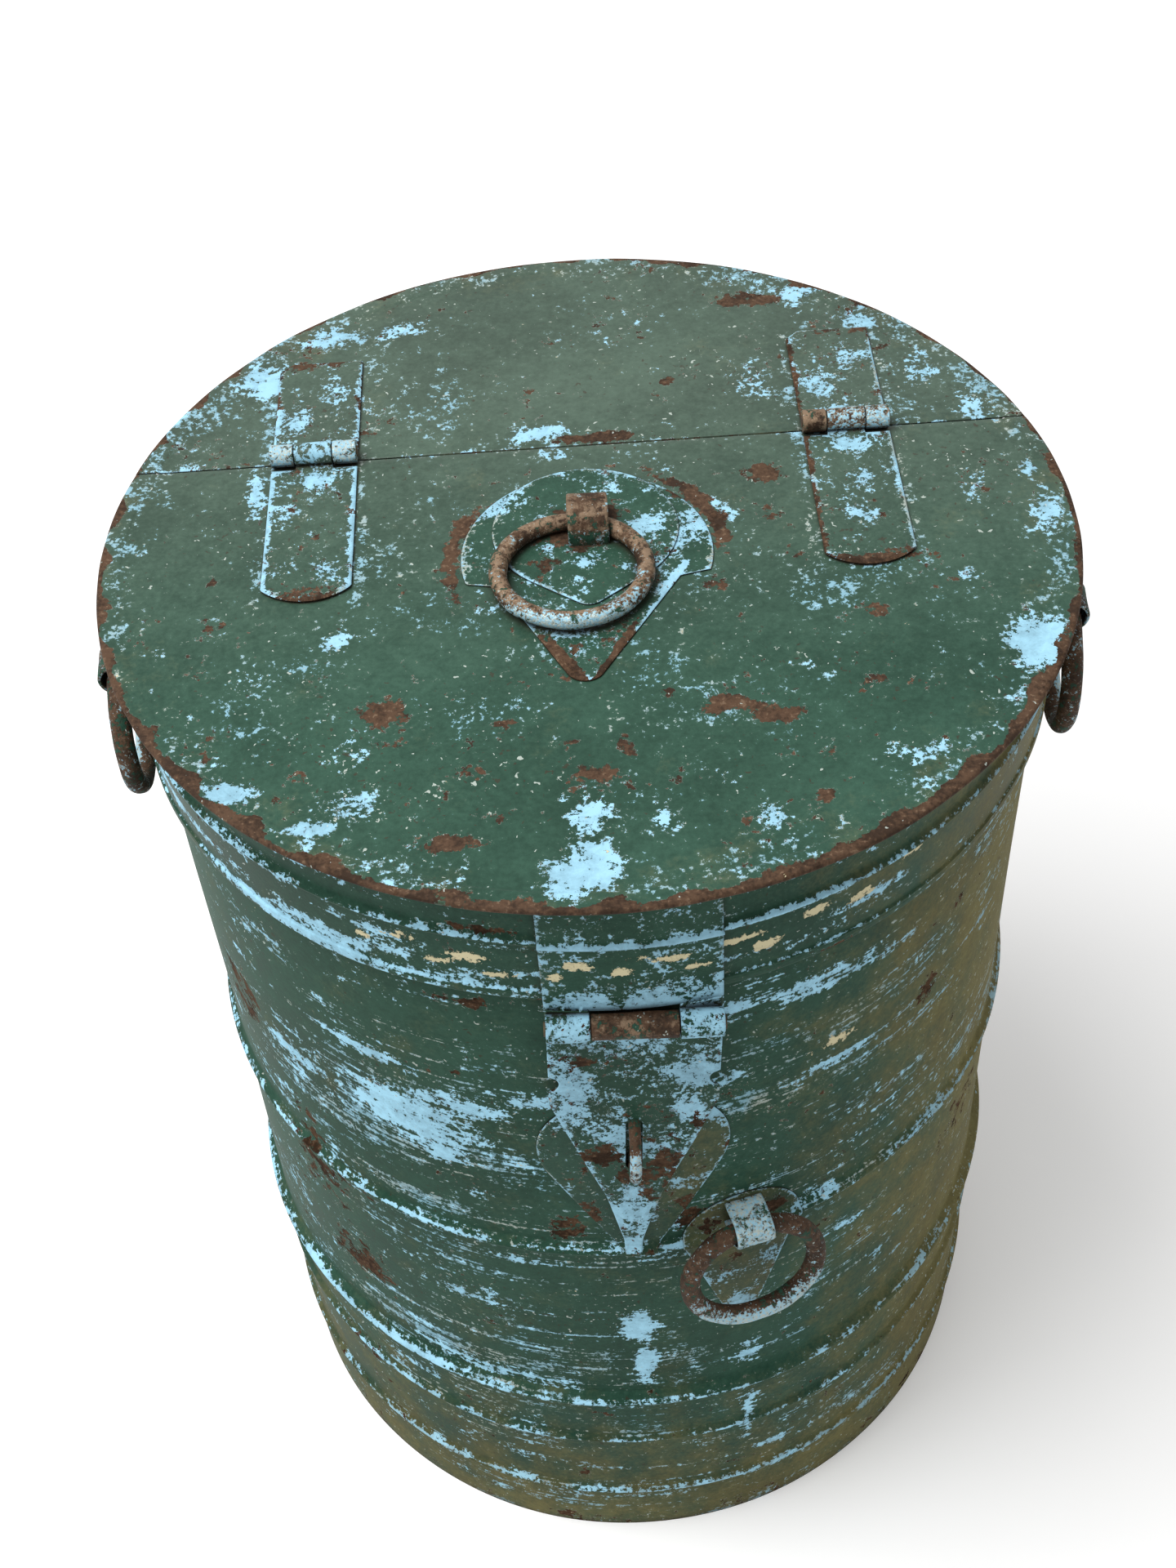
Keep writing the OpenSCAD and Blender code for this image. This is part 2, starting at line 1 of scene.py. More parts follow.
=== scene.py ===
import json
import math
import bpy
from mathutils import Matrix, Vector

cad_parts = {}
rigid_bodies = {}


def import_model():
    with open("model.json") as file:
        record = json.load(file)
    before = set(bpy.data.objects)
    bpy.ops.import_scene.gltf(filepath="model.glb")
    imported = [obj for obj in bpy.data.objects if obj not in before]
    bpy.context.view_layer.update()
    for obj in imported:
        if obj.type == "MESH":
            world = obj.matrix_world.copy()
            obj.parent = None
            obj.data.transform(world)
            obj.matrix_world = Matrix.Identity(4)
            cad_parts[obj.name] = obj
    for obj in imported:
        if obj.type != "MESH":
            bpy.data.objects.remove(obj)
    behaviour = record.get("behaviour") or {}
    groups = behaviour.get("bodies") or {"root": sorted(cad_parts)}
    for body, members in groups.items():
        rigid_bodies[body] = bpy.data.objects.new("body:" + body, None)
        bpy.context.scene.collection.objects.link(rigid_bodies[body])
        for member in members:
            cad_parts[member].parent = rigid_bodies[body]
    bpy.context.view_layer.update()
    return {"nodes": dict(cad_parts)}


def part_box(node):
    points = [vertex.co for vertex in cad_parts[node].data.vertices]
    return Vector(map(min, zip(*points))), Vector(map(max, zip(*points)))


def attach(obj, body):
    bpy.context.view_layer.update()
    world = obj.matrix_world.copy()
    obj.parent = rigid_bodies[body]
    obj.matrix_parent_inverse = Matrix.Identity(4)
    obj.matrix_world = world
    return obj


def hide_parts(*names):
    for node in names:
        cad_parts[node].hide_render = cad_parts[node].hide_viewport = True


bl_info = {
    "name": "Sheet-iron storage drum",
    "version": (1, 0, 0),
    "blender": (4, 5, 0),
    "location": "3D View > Sidebar > Drum",
    "description": "Builds the sheets, fittings, worn paint and studio of a storage drum",
    "category": "Object",
}

import bmesh
import bpy
import numpy as np
from bpy.props import FloatProperty, FloatVectorProperty, IntProperty, PointerProperty
from mathutils import Quaternion, Vector

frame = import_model()


def corners(node):
    """Lowest and highest corner of a CAD node, as arrays."""
    low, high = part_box(node)
    return np.array(low), np.array(high)


# the round top: its rim, its highest edge, its flat, and the slit between lid and fixed top
LID_LOW, LID_HIGH = corners("lid_sheet")
TOP_LOW = corners("fixed_top")[0]
RIM_R = LID_HIGH[0]
TOP_Z = LID_HIGH[2]
FLAT_Z = corners("lid_ring_plate")[0][2]
CUT_Y = LID_HIGH[1]
SEAM_Y = (LID_HIGH[1] + TOP_LOW[1]) / 2

# the wall, whose ribs are a height, how far they stand out, and their width
SHELL_HIGH = corners("body_shell")[1]
WALL_R = corners("base_disc")[1][0] + 0.00125
RIBS = ((0.352, 0.004, 0.015), (0.179, 0.006, 0.017), (0.124, 0.003, 0.011), (0.052, 0.003, 0.012))

# the collar, with its bead, the top of its folded hem, and the angle from the front at
# which the lid's part of it ends
SKIRT_LOW = corners("lid_collar")[0]
COLLAR_SPLIT = math.radians(74)
COLLAR_R = WALL_R + 0.0037
BEAD_Z = TOP_Z - 0.035
HEM_Z = SKIRT_LOW[2] + 0.006

# the strap hinges: the pins' place, half a leaf's width, half the middle knuckle's length,
# and how far a leaf's shoulders stay from the pin
HINGE_LOW, HINGE_HIGH = corners("hinge_left_pin")
HINGE_Z = (HINGE_LOW[2] + HINGE_HIGH[2]) / 2
HINGE_X = (HINGE_LOW[0] + HINGE_HIGH[0]) / -2
HINGE_W, HINGE_K, HINGE_CLEAR = 0.023, 0.010, 0.0068

# the hasp: its pin's middle, half its width, half its middle knuckle's length, and its lean
PIN_LOW, PIN_HIGH = corners("hasp_pin")
HASP_PIVOT = (PIN_LOW + PIN_HIGH) / 2
HASP_W, HASP_K = 0.0415, 0.0205
HASP_LEAN = math.radians(2)
HASP_TILT = np.array([
    [math.cos(HASP_LEAN), 0, math.sin(HASP_LEAN)], [0, 1, 0],
    [-math.sin(HASP_LEAN), 0, math.cos(HASP_LEAN)]])
HASP_SEAT = 0.0038

# gaps: beside a middle knuckle, and under a plate on the wall or the collar
KNUCKLE_GAP = 0.0005
PLATE_OUT = 0.00126


def srgb(red, green, blue):
    """A colour written as screen values from 0 to 255, as linear light."""
    c = np.array([red, green, blue]) / 255.0
    return tuple(np.where(c <= 0.04045, c / 12.92, ((c + 0.055) / 1.055) ** 2.4).tolist())


# ---- sizes and colours a user may change ----


class DrumSheets(bpy.types.PropertyGroup):
    """Sizes of the sheet metal and of its damage."""

    sheet: FloatProperty(
        name="Sheet", description="Thickness of the top, wall and collar sheet",
        default=0.0012, min=0.0005, max=0.003, unit="LENGTH")
    plate: FloatProperty(
        name="Plate", description="Thickness of the small plates under the rings and staple",
        default=0.0011, min=0.0005, max=0.002, unit="LENGTH")
    leaf: FloatProperty(
        name="Hinge leaf", description="Thickness of the strap hinge leaves",
        default=0.0022, min=0.001, max=0.003, unit="LENGTH")
    strap: FloatProperty(
        name="Hasp strap", description="Thickness of the hasp strap",
        default=0.0025, min=0.0015, max=0.004, unit="LENGTH")
    dent: FloatProperty(
        name="Dents", description="Depth of the dents in the top and the wall",
        default=0.0011, min=0.0, max=0.002, unit="LENGTH")
    around: IntProperty(
        name="Steps around", description="Points around the wall", default=288, min=96, max=360)


class DrumPaint(bpy.types.PropertyGroup):
    """Colours of the paint layers and of the iron under them."""

    green: FloatVectorProperty(
        name="Top coat", description="Dark green paint of the lid and wall",
        subtype="COLOR", size=3, default=srgb(38, 70, 56), min=0.0, max=1.0)
    # painted sheen: this greyer green stands for the bright room's reflection on the back of the top
    rear_sheen_green: FloatVectorProperty(
        name="Rear top coat", description="Greyer green of the fixed rear top",
        subtype="COLOR", size=3, default=srgb(66, 84, 72), min=0.0, max=1.0)
    olive: FloatVectorProperty(
        name="Grime", description="Olive brown grime over the green",
        subtype="COLOR", size=3, default=srgb(116, 108, 70), min=0.0, max=1.0)
    blue: FloatVectorProperty(
        name="Old coat", description="Light blue paint under the green",
        subtype="COLOR", size=3, default=srgb(148, 194, 214), min=0.0, max=1.0)
    pale: FloatVectorProperty(
        name="Primer", description="Pale edge of a chip, where the primer shows",
        subtype="COLOR", size=3, default=srgb(182, 192, 184), min=0.0, max=1.0)
    rust: FloatVectorProperty(
        name="Rust", description="Rust where all paint is gone",
        subtype="COLOR", size=3, default=srgb(80, 60, 45), min=0.0, max=1.0)
    iron: FloatVectorProperty(
        name="Rubbed iron", description="Brown iron that turning parts keep bare",
        subtype="COLOR", size=3, default=srgb(140, 118, 96), min=0.0, max=1.0)
    cream: FloatVectorProperty(
        name="Cream", description="Smears of cream paint",
        subtype="COLOR", size=3, default=srgb(214, 204, 166), min=0.0, max=1.0)


class DrumStudio(bpy.types.PropertyGroup):
    """Light and floor of the studio."""

    sky: FloatProperty(
        name="Room light", description="Strength of the even light from all sides",
        default=0.5, min=0.0, max=2.0)
    lamp: FloatProperty(
        name="Lamp", description="Power of the large soft lamp on the left",
        default=88.0, min=0.0, max=500.0, unit="POWER")
    floor: FloatVectorProperty(
        name="Floor", description="Colour of the floor",
        subtype="COLOR", size=3, default=(0.92, 0.92, 0.92), min=0.0, max=1.0)


# ---- surfaces ----


def stack(x, y, z):
    """Points from their three coordinates, which may be numbers, rows or grids."""
    return np.stack(np.broadcast_arrays(x, y, z), -1)


def waves(points, size, seed, count=12):
    """A smooth uneven field, about -1 to 1: the mean of sine waves about size long in
    random directions through the points."""
    rng = np.random.default_rng(seed)
    way = rng.normal(size=(count, 3))
    way /= np.linalg.norm(way, axis=1)[:, None]
    pace = 2 * np.pi / (size * rng.uniform(0.7, 1.7, count))
    start = rng.uniform(0, 2 * np.pi, count)
    return np.sin(points @ (way * pace[:, None]).T + start).sum(-1) / math.sqrt(count) / 1.4


def polar(r, a, z):
    """A point at radius r and height z, at angle a from the front towards the right."""
    return stack(r * np.sin(a), -r * np.cos(a), z)


def spot(u, v, spots):
    """The strongest of several soft spots: each is one at its centre and falls to
    nothing at its radii as a cosine bell of the distance in radii."""
    total = np.zeros(np.broadcast(u, v).shape)
    for cu, cv, ru, rv, amount in spots:
        far = np.hypot((u - cu) / ru, (v - cv) / rv)
        bell = 0.5 + 0.5 * np.cos(np.pi * np.clip(far / 1.35, 0, 1))
        total = np.maximum(total, amount * np.clip(bell * 1.15, 0, 1))
    return total


def line(u, v, lines):
    """Soft straight strokes: each is full on its segment and fades with the distance
    from it in widths."""
    total = np.zeros(np.broadcast(u, v).shape)
    for u0, v0, u1, v1, width, amount in lines:
        along = ((u - u0) * (u1 - u0) + (v - v0) * (v1 - v0)) / ((u1 - u0) ** 2 + (v1 - v0) ** 2)
        along = np.clip(along, 0, 1)
        far = np.hypot(u - u0 - along * (u1 - u0), v - v0 - along * (v1 - v0)) / width
        total = np.maximum(total, amount * np.exp(-far ** 2))
    return total


def swell(z, c, h, w):
    """A cosine swell of height h and width w about c."""
    return np.where(abs(z - c) < w / 2, h * (1 + np.cos(2 * np.pi * (z - c) / w)) / 2, 0.0)


def rib_out(z):
    """How far the wall stands out at height z: the largest of the ribs' swells."""
    return np.max([swell(z, *rib) for rib in RIBS], axis=0)


def top_dent(x, y):
    """Height of the uneven top: slow waves and shallow hollows that fade out at the
    rim and along the hinges."""
    depth = bpy.context.scene.drum_sheets.dent
    p = stack(x, y, 0.0)
    inside = np.clip((RIM_R - 0.014 - np.hypot(x, y)) / 0.03, 0, 1)
    inside = inside * np.clip(abs(y - SEAM_Y) / 0.03, 0, 1)
    hollow = spot(x, y, (
        (-0.1, -0.1, 0.07, 0.06, 0.9), (0.09, -0.15, 0.08, 0.05, 0.8),
        (0.12, 0.02, 0.05, 0.06, 0.6), (0.02, 0.15, 0.1, 0.05, 0.7)))
    return inside * depth * (0.45 * waves(p, 0.16, 3) + 0.1 * waves(p, 0.05, 4) - hollow)


def wall_dent(a, z):
    """How far the wall stands in or out: slow waves round and up the wall, a slight
    waist at half height, and a few shallow hollows; none under the collar."""
    depth = bpy.context.scene.drum_sheets.dent
    p = polar(WALL_R, a, z)
    under = np.clip((SKIRT_LOW[2] + 0.005 - z) / 0.05, 0, 1)
    hollow = spot(np.degrees(a), z, (
        (-38, 0.44, 14, 0.05, 1.0), (30, 0.28, 12, 0.04, 0.8), (-12, 0.09, 12, 0.03, 0.6),
        (52, 0.5, 14, 0.05, 0.9), (140, 0.4, 20, 0.06, 1.0), (-120, 0.25, 18, 0.06, 1.0)))
    waist = -0.001 * np.sin(np.pi * np.clip(z / 0.6, 0, 1))
    return under * (depth * (0.5 * waves(p, 0.18, 8) - hollow) + waist)


def collar_dent(a, z):
    """How far the collar stands in or out: slow small waves round it, fading to none
    under the rim."""
    p = polar(COLLAR_R, a, z)
    low = np.clip((TOP_Z - 0.004 - z) / 0.03, 0, 1)
    return low * 0.0005 * waves(p, 0.13, 12)


def on_top(u, v, h):
    """A point on the top at u to the right and v back, raised by h."""
    return stack(u, v, FLAT_Z + top_dent(u, v) + h)


def on_wall(turn):
    """Lays a flat pattern round the wall: u is the arc length from the angle turn, v
    the height, and h the distance out from the ribbed wall."""
    def place(u, v, h):
        a = turn + u / WALL_R
        return polar(WALL_R + rib_out(v) + wall_dent(a, v) + h, a, v)
    return place


def collar_face(z):
    """Radius of the collar's face at height z: plain, with a bead and a folded hem."""
    hem = 0.0012 * np.clip((HEM_Z + 0.001 - z) / 0.001, 0, 1)
    return COLLAR_R + swell(z, BEAD_Z, 0.003, 0.009) + hem


def on_collar(turn):
    """Lays a flat pattern round the collar, over its bead, in the same way."""
    def place(u, v, h):
        a = turn + u / COLLAR_R
        return polar(collar_face(v) + collar_dent(a, v) + h, a, v)
    return place


def grid_faces(rows, cols, wrap_rows, wrap_cols):
    """The four-sided faces between neighbouring points of a grid."""
    r = np.arange(rows if wrap_rows else rows - 1)[:, None]
    c = np.arange(cols if wrap_cols else cols - 1)[None, :]
    r2, c2 = (r + 1) % rows, (c + 1) % cols
    quads = np.stack(np.broadcast_arrays(r * cols + c, r * cols + c2, r2 * cols + c2, r2 * cols + c), -1)
    return quads.reshape(-1, 4)


class Surface:
    """Gathers grids of points, with a mark for each kind of wear, into one mesh."""

    MARKS = ("blue", "rust", "scuff", "grime", "cream", "edge")

    def __init__(self):
        self.points, self.faces, self.count = [], [], 0
        self.marks = {mark: [] for mark in self.MARKS}

    def add(self, grid, wrap_rows=False, wrap_cols=False, flip=False, **marks):
        """Adds a grid whose faces look along its columns crossed with its rows."""
        rows, cols = grid.shape[:2]
        faces = grid_faces(rows, cols, wrap_rows, wrap_cols) + self.count
        self.faces.append(faces[:, ::-1] if flip else faces)
        self.points.append(grid.reshape(-1, 3))
        for mark in self.MARKS:
            value = np.broadcast_to(marks.get(mark, 0.0), (rows, cols))
            self.marks[mark].append(value.reshape(-1))
        self.count += rows * cols

    def build(self, name, body, material, slot, nodes=(), thickness=0.0, bevel=0.0):
        """Makes the mesh, joins its seams and poles, gives it its thickness and
        puts it on its body."""
        mesh = bpy.data.meshes.new(name)
        points = np.concatenate(self.points)
        faces = np.concatenate(self.faces)
        mesh.from_pydata(points, [], faces)
        for mark in self.MARKS:
            layer = mesh.attributes.new(mark, "FLOAT", "POINT")
            layer.data.foreach_set("value", np.concatenate(self.marks[mark]).astype(np.float32))
        work = bmesh.new()
        work.from_mesh(mesh)
        bmesh.ops.remove_doubles(work, verts=work.verts, dist=4e-6)
        bmesh.ops.dissolve_degenerate(work, edges=work.edges, dist=1e-6)
        if not thickness:
            bmesh.ops.recalc_face_normals(work, faces=work.faces)
        work.to_mesh(mesh)
        work.free()
        mesh.shade_smooth()
        mesh.materials.append(material)
        piece = bpy.data.objects.new(name, mesh)
        bpy.context.scene.collection.objects.link(piece)
        if thickness:
            wall = piece.modifiers.new("Thickness", "SOLIDIFY")
            wall.thickness, wall.offset = thickness, -1.0
        if bevel:
            round_over = piece.modifiers.new("Worn edge", "BEVEL")
            round_over.width, round_over.segments = bevel, 2
            round_over.limit_method, round_over.angle_limit = "ANGLE", math.radians(50)
        if thickness or bevel:
            even = piece.modifiers.new("Even shading", "WEIGHTED_NORMAL")
            even.keep_sharp = True
        if nodes:
            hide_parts(*nodes)
        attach(piece, body)
        return piece


def resample(outline, step):
    """A closed outline with points about step apart, by running length."""
    ring = np.vstack([outline, outline[:1]])
    run = np.concatenate([[0], np.cumsum(np.hypot(*np.diff(ring, axis=0).T))])
    at = np.linspace(0, run[-1], max(12, int(run[-1] / step)), endpoint=False)
    return np.stack([np.interp(at, run, ring[:, 0]), np.interp(at, run, ring[:, 1])], -1)


def drop(r, length, tip, x=0.0, y=0.0, n=40):
    """A round head of radius r whose sides run straight to a round tip of radius tip,
    length below it: two arcs of a circle that share their tangents."""
    lean = math.asin((r - tip) / length)
    head = np.linspace(-lean, math.pi + lean, n)
    end = np.linspace(math.pi + lean, 2 * math.pi - lean, n // 3)
    return np.concatenate([
        np.stack([x + r * np.cos(head), y + r * np.sin(head)], -1),
        np.stack([x + tip * np.cos(end), y - length + tip * np.sin(end)], -1)])


def fan(outline, centre, rings):
    """A grid from the centre of an outline to its edge, along straight rays, closer
    together near the edge."""
    share = 1 - (1 - np.linspace(0, 1, rings)) ** 1.6
    return centre + share[:, None, None] * (outline - centre)


def near_edge(pattern, width):
    """One at the outline of a fan and nothing at width inside it, measured along the
    rays."""
    far = np.hypot(*np.moveaxis(pattern - pattern[-1], -1, 0))
    return np.clip(1 - far / width, 0, 1)


def patch(outline, centre, place, rings, height, wear, soft):
    """A plate bent onto its seat: rays from its centre to its outline, raised by its
    height, with its edge bent down by soft. Its lip is rubbed pale. Gives a Surface."""
    pattern = fan(resample(outline, 0.0016), np.array(centre), rings)
    edge = near_edge(pattern, 0.006)
    u, v = pattern[..., 0], pattern[..., 1]
    lip = near_edge(pattern, 0.0018)
    grid = place(u, v, height - soft * lip ** 2)
    surface = Surface()
    marks = wear(u, v)
    marks["edge"] = edge
    marks["scuff"] = marks.get("scuff", 0.0) + 0.8 * lip
    marks["blue"] = marks.get("blue", 0.0) + 0.3 * lip
    surface.add(grid, wrap_cols=True, flip=True, **marks)
    return surface


def frames(path, side):
    """For each point of a path, the direction across it and the direction square to
    both: across is the given side made square to the path."""
    along = np.gradient(path, axis=0)
    along /= np.linalg.norm(along, axis=1)[:, None]
    across = side - (along @ side)[:, None] * along if side.ndim == 1 else side
    across = across / np.linalg.norm(across, axis=1)[:, None]
    return across, np.cross(along, across)


def carry(path, side, section):
    """A section carried along a path: each of its points is the path's point plus its
    two coordinates along the across and square directions."""
    across, square = frames(path, side)
    return (path[:, None] + section[..., 0, None] * across[:, None]
            + section[..., 1, None] * square[:, None])


def beside(w, k):
    """The two stretches of a knuckle line from -w to w that lie beside its middle
    knuckle, which runs from -k to k."""
    return (-w, -k - KNUCKLE_GAP), (k + KNUCKLE_GAP, w)


def capped(surface, grid, **marks):
    """Adds a tube of closed sections and closes both of its ends with a point."""
    first, last = grid[0].mean(0), grid[-1].mean(0)
    whole = np.concatenate([
        np.broadcast_to(first, grid[:1].shape), grid, np.broadcast_to(last, grid[:1].shape)])
    wide = {k: np.concatenate([v[:1], v, v[-1:]]) if np.ndim(v) == 2 else v for k, v in marks.items()}
    surface.add(whole, wrap_cols=True, **wide)


def circle(r, n):
    """A circle of radius r, as n points."""
    a = np.linspace(0, 2 * np.pi, n, endpoint=False)
    return np.stack([r * np.cos(a), r * np.sin(a)], -1)


def bar(width, thickness, corner):
    """A rectangle with its corners cut, as points about a millimetre apart."""
    w, t, c = width / 2, thickness / 2, corner
    outline = np.array([
        [w, -t + c], [w, t - c], [w - c, t], [-w + c, t],
        [-w, t - c], [-w, -t + c], [-w + c, -t], [w - c, -t]])
    return resample(outline, 0.0011)


def knuckle(surface, x0, x1, r, centre, turn=None, **marks):
    """A rolled barrel about the X axis: a radius that is rounded at both ends, with
    the step that the rolled sheet's edge leaves along it."""
    corner = 0.0006
    run = np.linspace(0, 1, 22)
    x = x0 + (x1 - x0) * (0.5 - 0.5 * np.cos(np.pi * run))
    inset = np.minimum(x - x0, x1 - x)
    soft = np.minimum(corner, inset)
    radius = r - corner + np.sqrt(np.maximum(0, corner ** 2 - (corner - soft) ** 2))
    a = np.linspace(0, 2 * np.pi, 48, endpoint=False)
    lap = np.where((a > 3.6) & (a < 3.9), -0.0005, 0.0)
    radius = radius[:, None] + lap * np.clip(inset / 0.001, 0, 1)[:, None]
    grid = np.stack([
        np.broadcast_to(x[:, None], radius.shape), radius * np.cos(a), radius * np.sin(a)], -1)
    grid[..., 1:] += 0.0002 * waves(grid, 0.02, 31)[..., None]
    if turn is not None:
        grid = grid @ np.array(turn).T
    ends = {"edge": np.broadcast_to(np.clip(1 - inset / 0.003, 0, 1)[:, None], radius.shape)}
    capped(surface, grid + centre, **(ends | marks))


# ---- materials ----


class Nodes:
    """A material's node tree, with short ways to add the nodes this drum needs."""

    def __init__(self, name):
        self.material = bpy.data.materials.new(name)
        self.material.use_nodes = True
        self.tree = self.material.node_tree
        self.tree.nodes.clear()
        self.place = self.add("ShaderNodeTexCoord").outputs["Object"]

    def add(self, kind, values=None, **settings):
        """A node of that kind, with its settings, and each input set or linked."""
        node = self.tree.nodes.new(kind)
        for key, value in settings.items():
            setattr(node, key, value)
        for key, value in (values or {}).items():
            socket = node.inputs[key]
            if isinstance(value, bpy.types.NodeSocket):
                self.tree.links.new(value, socket)
            elif socket.type == "RGBA":
                socket.default_value = (*value[:3], 1.0)
            else:
                socket.default_value = value
        return node

    def math(self, operation, a, b=0.0, c=0.0):
        """One sum, product or other operation on up to three values."""
        node = self.add("ShaderNodeMath", {0: a, 1: b, 2: c}, operation=operation)
        return node.outputs[0]

    def sum(self, *terms):
        """The sum of value times weight over the given pairs."""
        total = 0.0
        for value, weight in terms:
            total = self.math("MULTIPLY_ADD", value, weight, total)
        return total

    def noise(self, scale, detail=6.0, rough=0.55, seed=0.0, stretch=(1, 1, 1), warp=0.0):
        """Cloudy noise about zero on the object's own coordinates."""
        spot = self.add(
            "ShaderNodeMapping", {"Vector": self.place, "Scale": stretch,
                                  "Location": (seed * 1.7, seed * 2.3, seed * 3.1)}).outputs[0]
        node = self.add(
            "ShaderNodeTexNoise",
            {"Vector": spot, "Scale": scale, "Detail": detail, "Roughness": rough, "Distortion": warp})
        return self.math("SUBTRACT", node.outputs[0], 0.5)

    def mark(self, name):
        """The wear mark of that name, from the mesh."""
        return self.add("ShaderNodeAttribute", attribute_name=name).outputs["Fac"]

    def step(self, value, low, high, bottom=0.0, top=1.0):
        """A smooth step from bottom to top while the value goes from low to high."""
        node = self.add(
            "ShaderNodeMapRange",
            {"Value": value, "From Min": low, "From Max": high, "To Min": bottom, "To Max": top},
            interpolation_type="SMOOTHSTEP")
        return node.outputs[0]

    def mix(self, share, a, b):
        """Colour a, with that share of colour b."""
        node = self.add("ShaderNodeMix", {0: share, 6: a, 7: b}, data_type="RGBA")
        return node.outputs[2]

    def specks_with_corner_shade(self, colour, fleck, pit, seed, amount=1.0):
        """Small flecks of one colour and small pits of another, from the peaks and
        the troughs of a fine noise, and painted shade with dirt in the corners between pieces."""
        grain = self.noise(300.0, 2.0, 0.5, seed, warp=0.4)
        cloud = self.noise(14.0, 3.0, 0.6, seed + 2)
        peak = self.step(self.sum((grain, 1.0), (cloud, 0.25)), 0.225, 0.245, 0.0, 0.75 * amount)
        trough = self.step(self.sum((grain, -1.0), (cloud, 0.35)), 0.2, 0.24, 0.0, 0.6 * amount)
        colour = self.mix(peak, colour, fleck)
        colour = self.mix(trough, colour, pit)
        # painted shade and dirt: where ambient occlusion finds close surfaces, in corners and between pieces,
        # the colour darkens towards dark rust
        near = self.add("ShaderNodeAmbientOcclusion", {"Distance": 0.009}, samples=6).outputs["AO"]
        dirt = self.step(self.sum((near, -1.0), (cloud, 0.4)), -0.8, -0.25, 0.0, 0.8)
        return self.mix(dirt, colour, tuple(0.3 * c for c in bpy.context.scene.drum_paint.rust))

    def finish(self, colour, rough, height, depth, metal=0.0, gloss=0.5):
        """The shader with its colour, roughness and small relief; gives the material."""
        bump = self.add(
            "ShaderNodeBump", {"Height": height, "Distance": depth}).outputs[0]
        shader = self.add(
            "ShaderNodeBsdfPrincipled",
            {"Base Color": colour, "Roughness": rough, "Normal": bump, "Metallic": metal,
             "Specular IOR Level": gloss})
        self.add("ShaderNodeOutputMaterial", {"Surface": shader.outputs[0]})
        return self.material


def rust_layer(nodes, paint, seed):
    """Mottled rust: brown with darker pits and a few tan grains."""
    cloud = nodes.noise(55.0, 6.0, 0.6, seed)
    grain = nodes.noise(420.0, 3.0, 0.6, seed + 3)
    dark = tuple(0.38 * c for c in paint.rust)
    tan = tuple(min(1.0, 0.45 * c + 0.55 * d) for c, d in zip(paint.rust, paint.iron))
    colour = nodes.mix(nodes.step(nodes.sum((cloud, 1.0), (grain, 0.6)), -0.14, 0.1), dark, tuple(paint.rust))
    colour = nodes.mix(nodes.step(nodes.sum((grain, 1.0), (cloud, 0.4)), 0.1, 0.2, 0.0, 0.65), colour, tan)
    return colour, grain


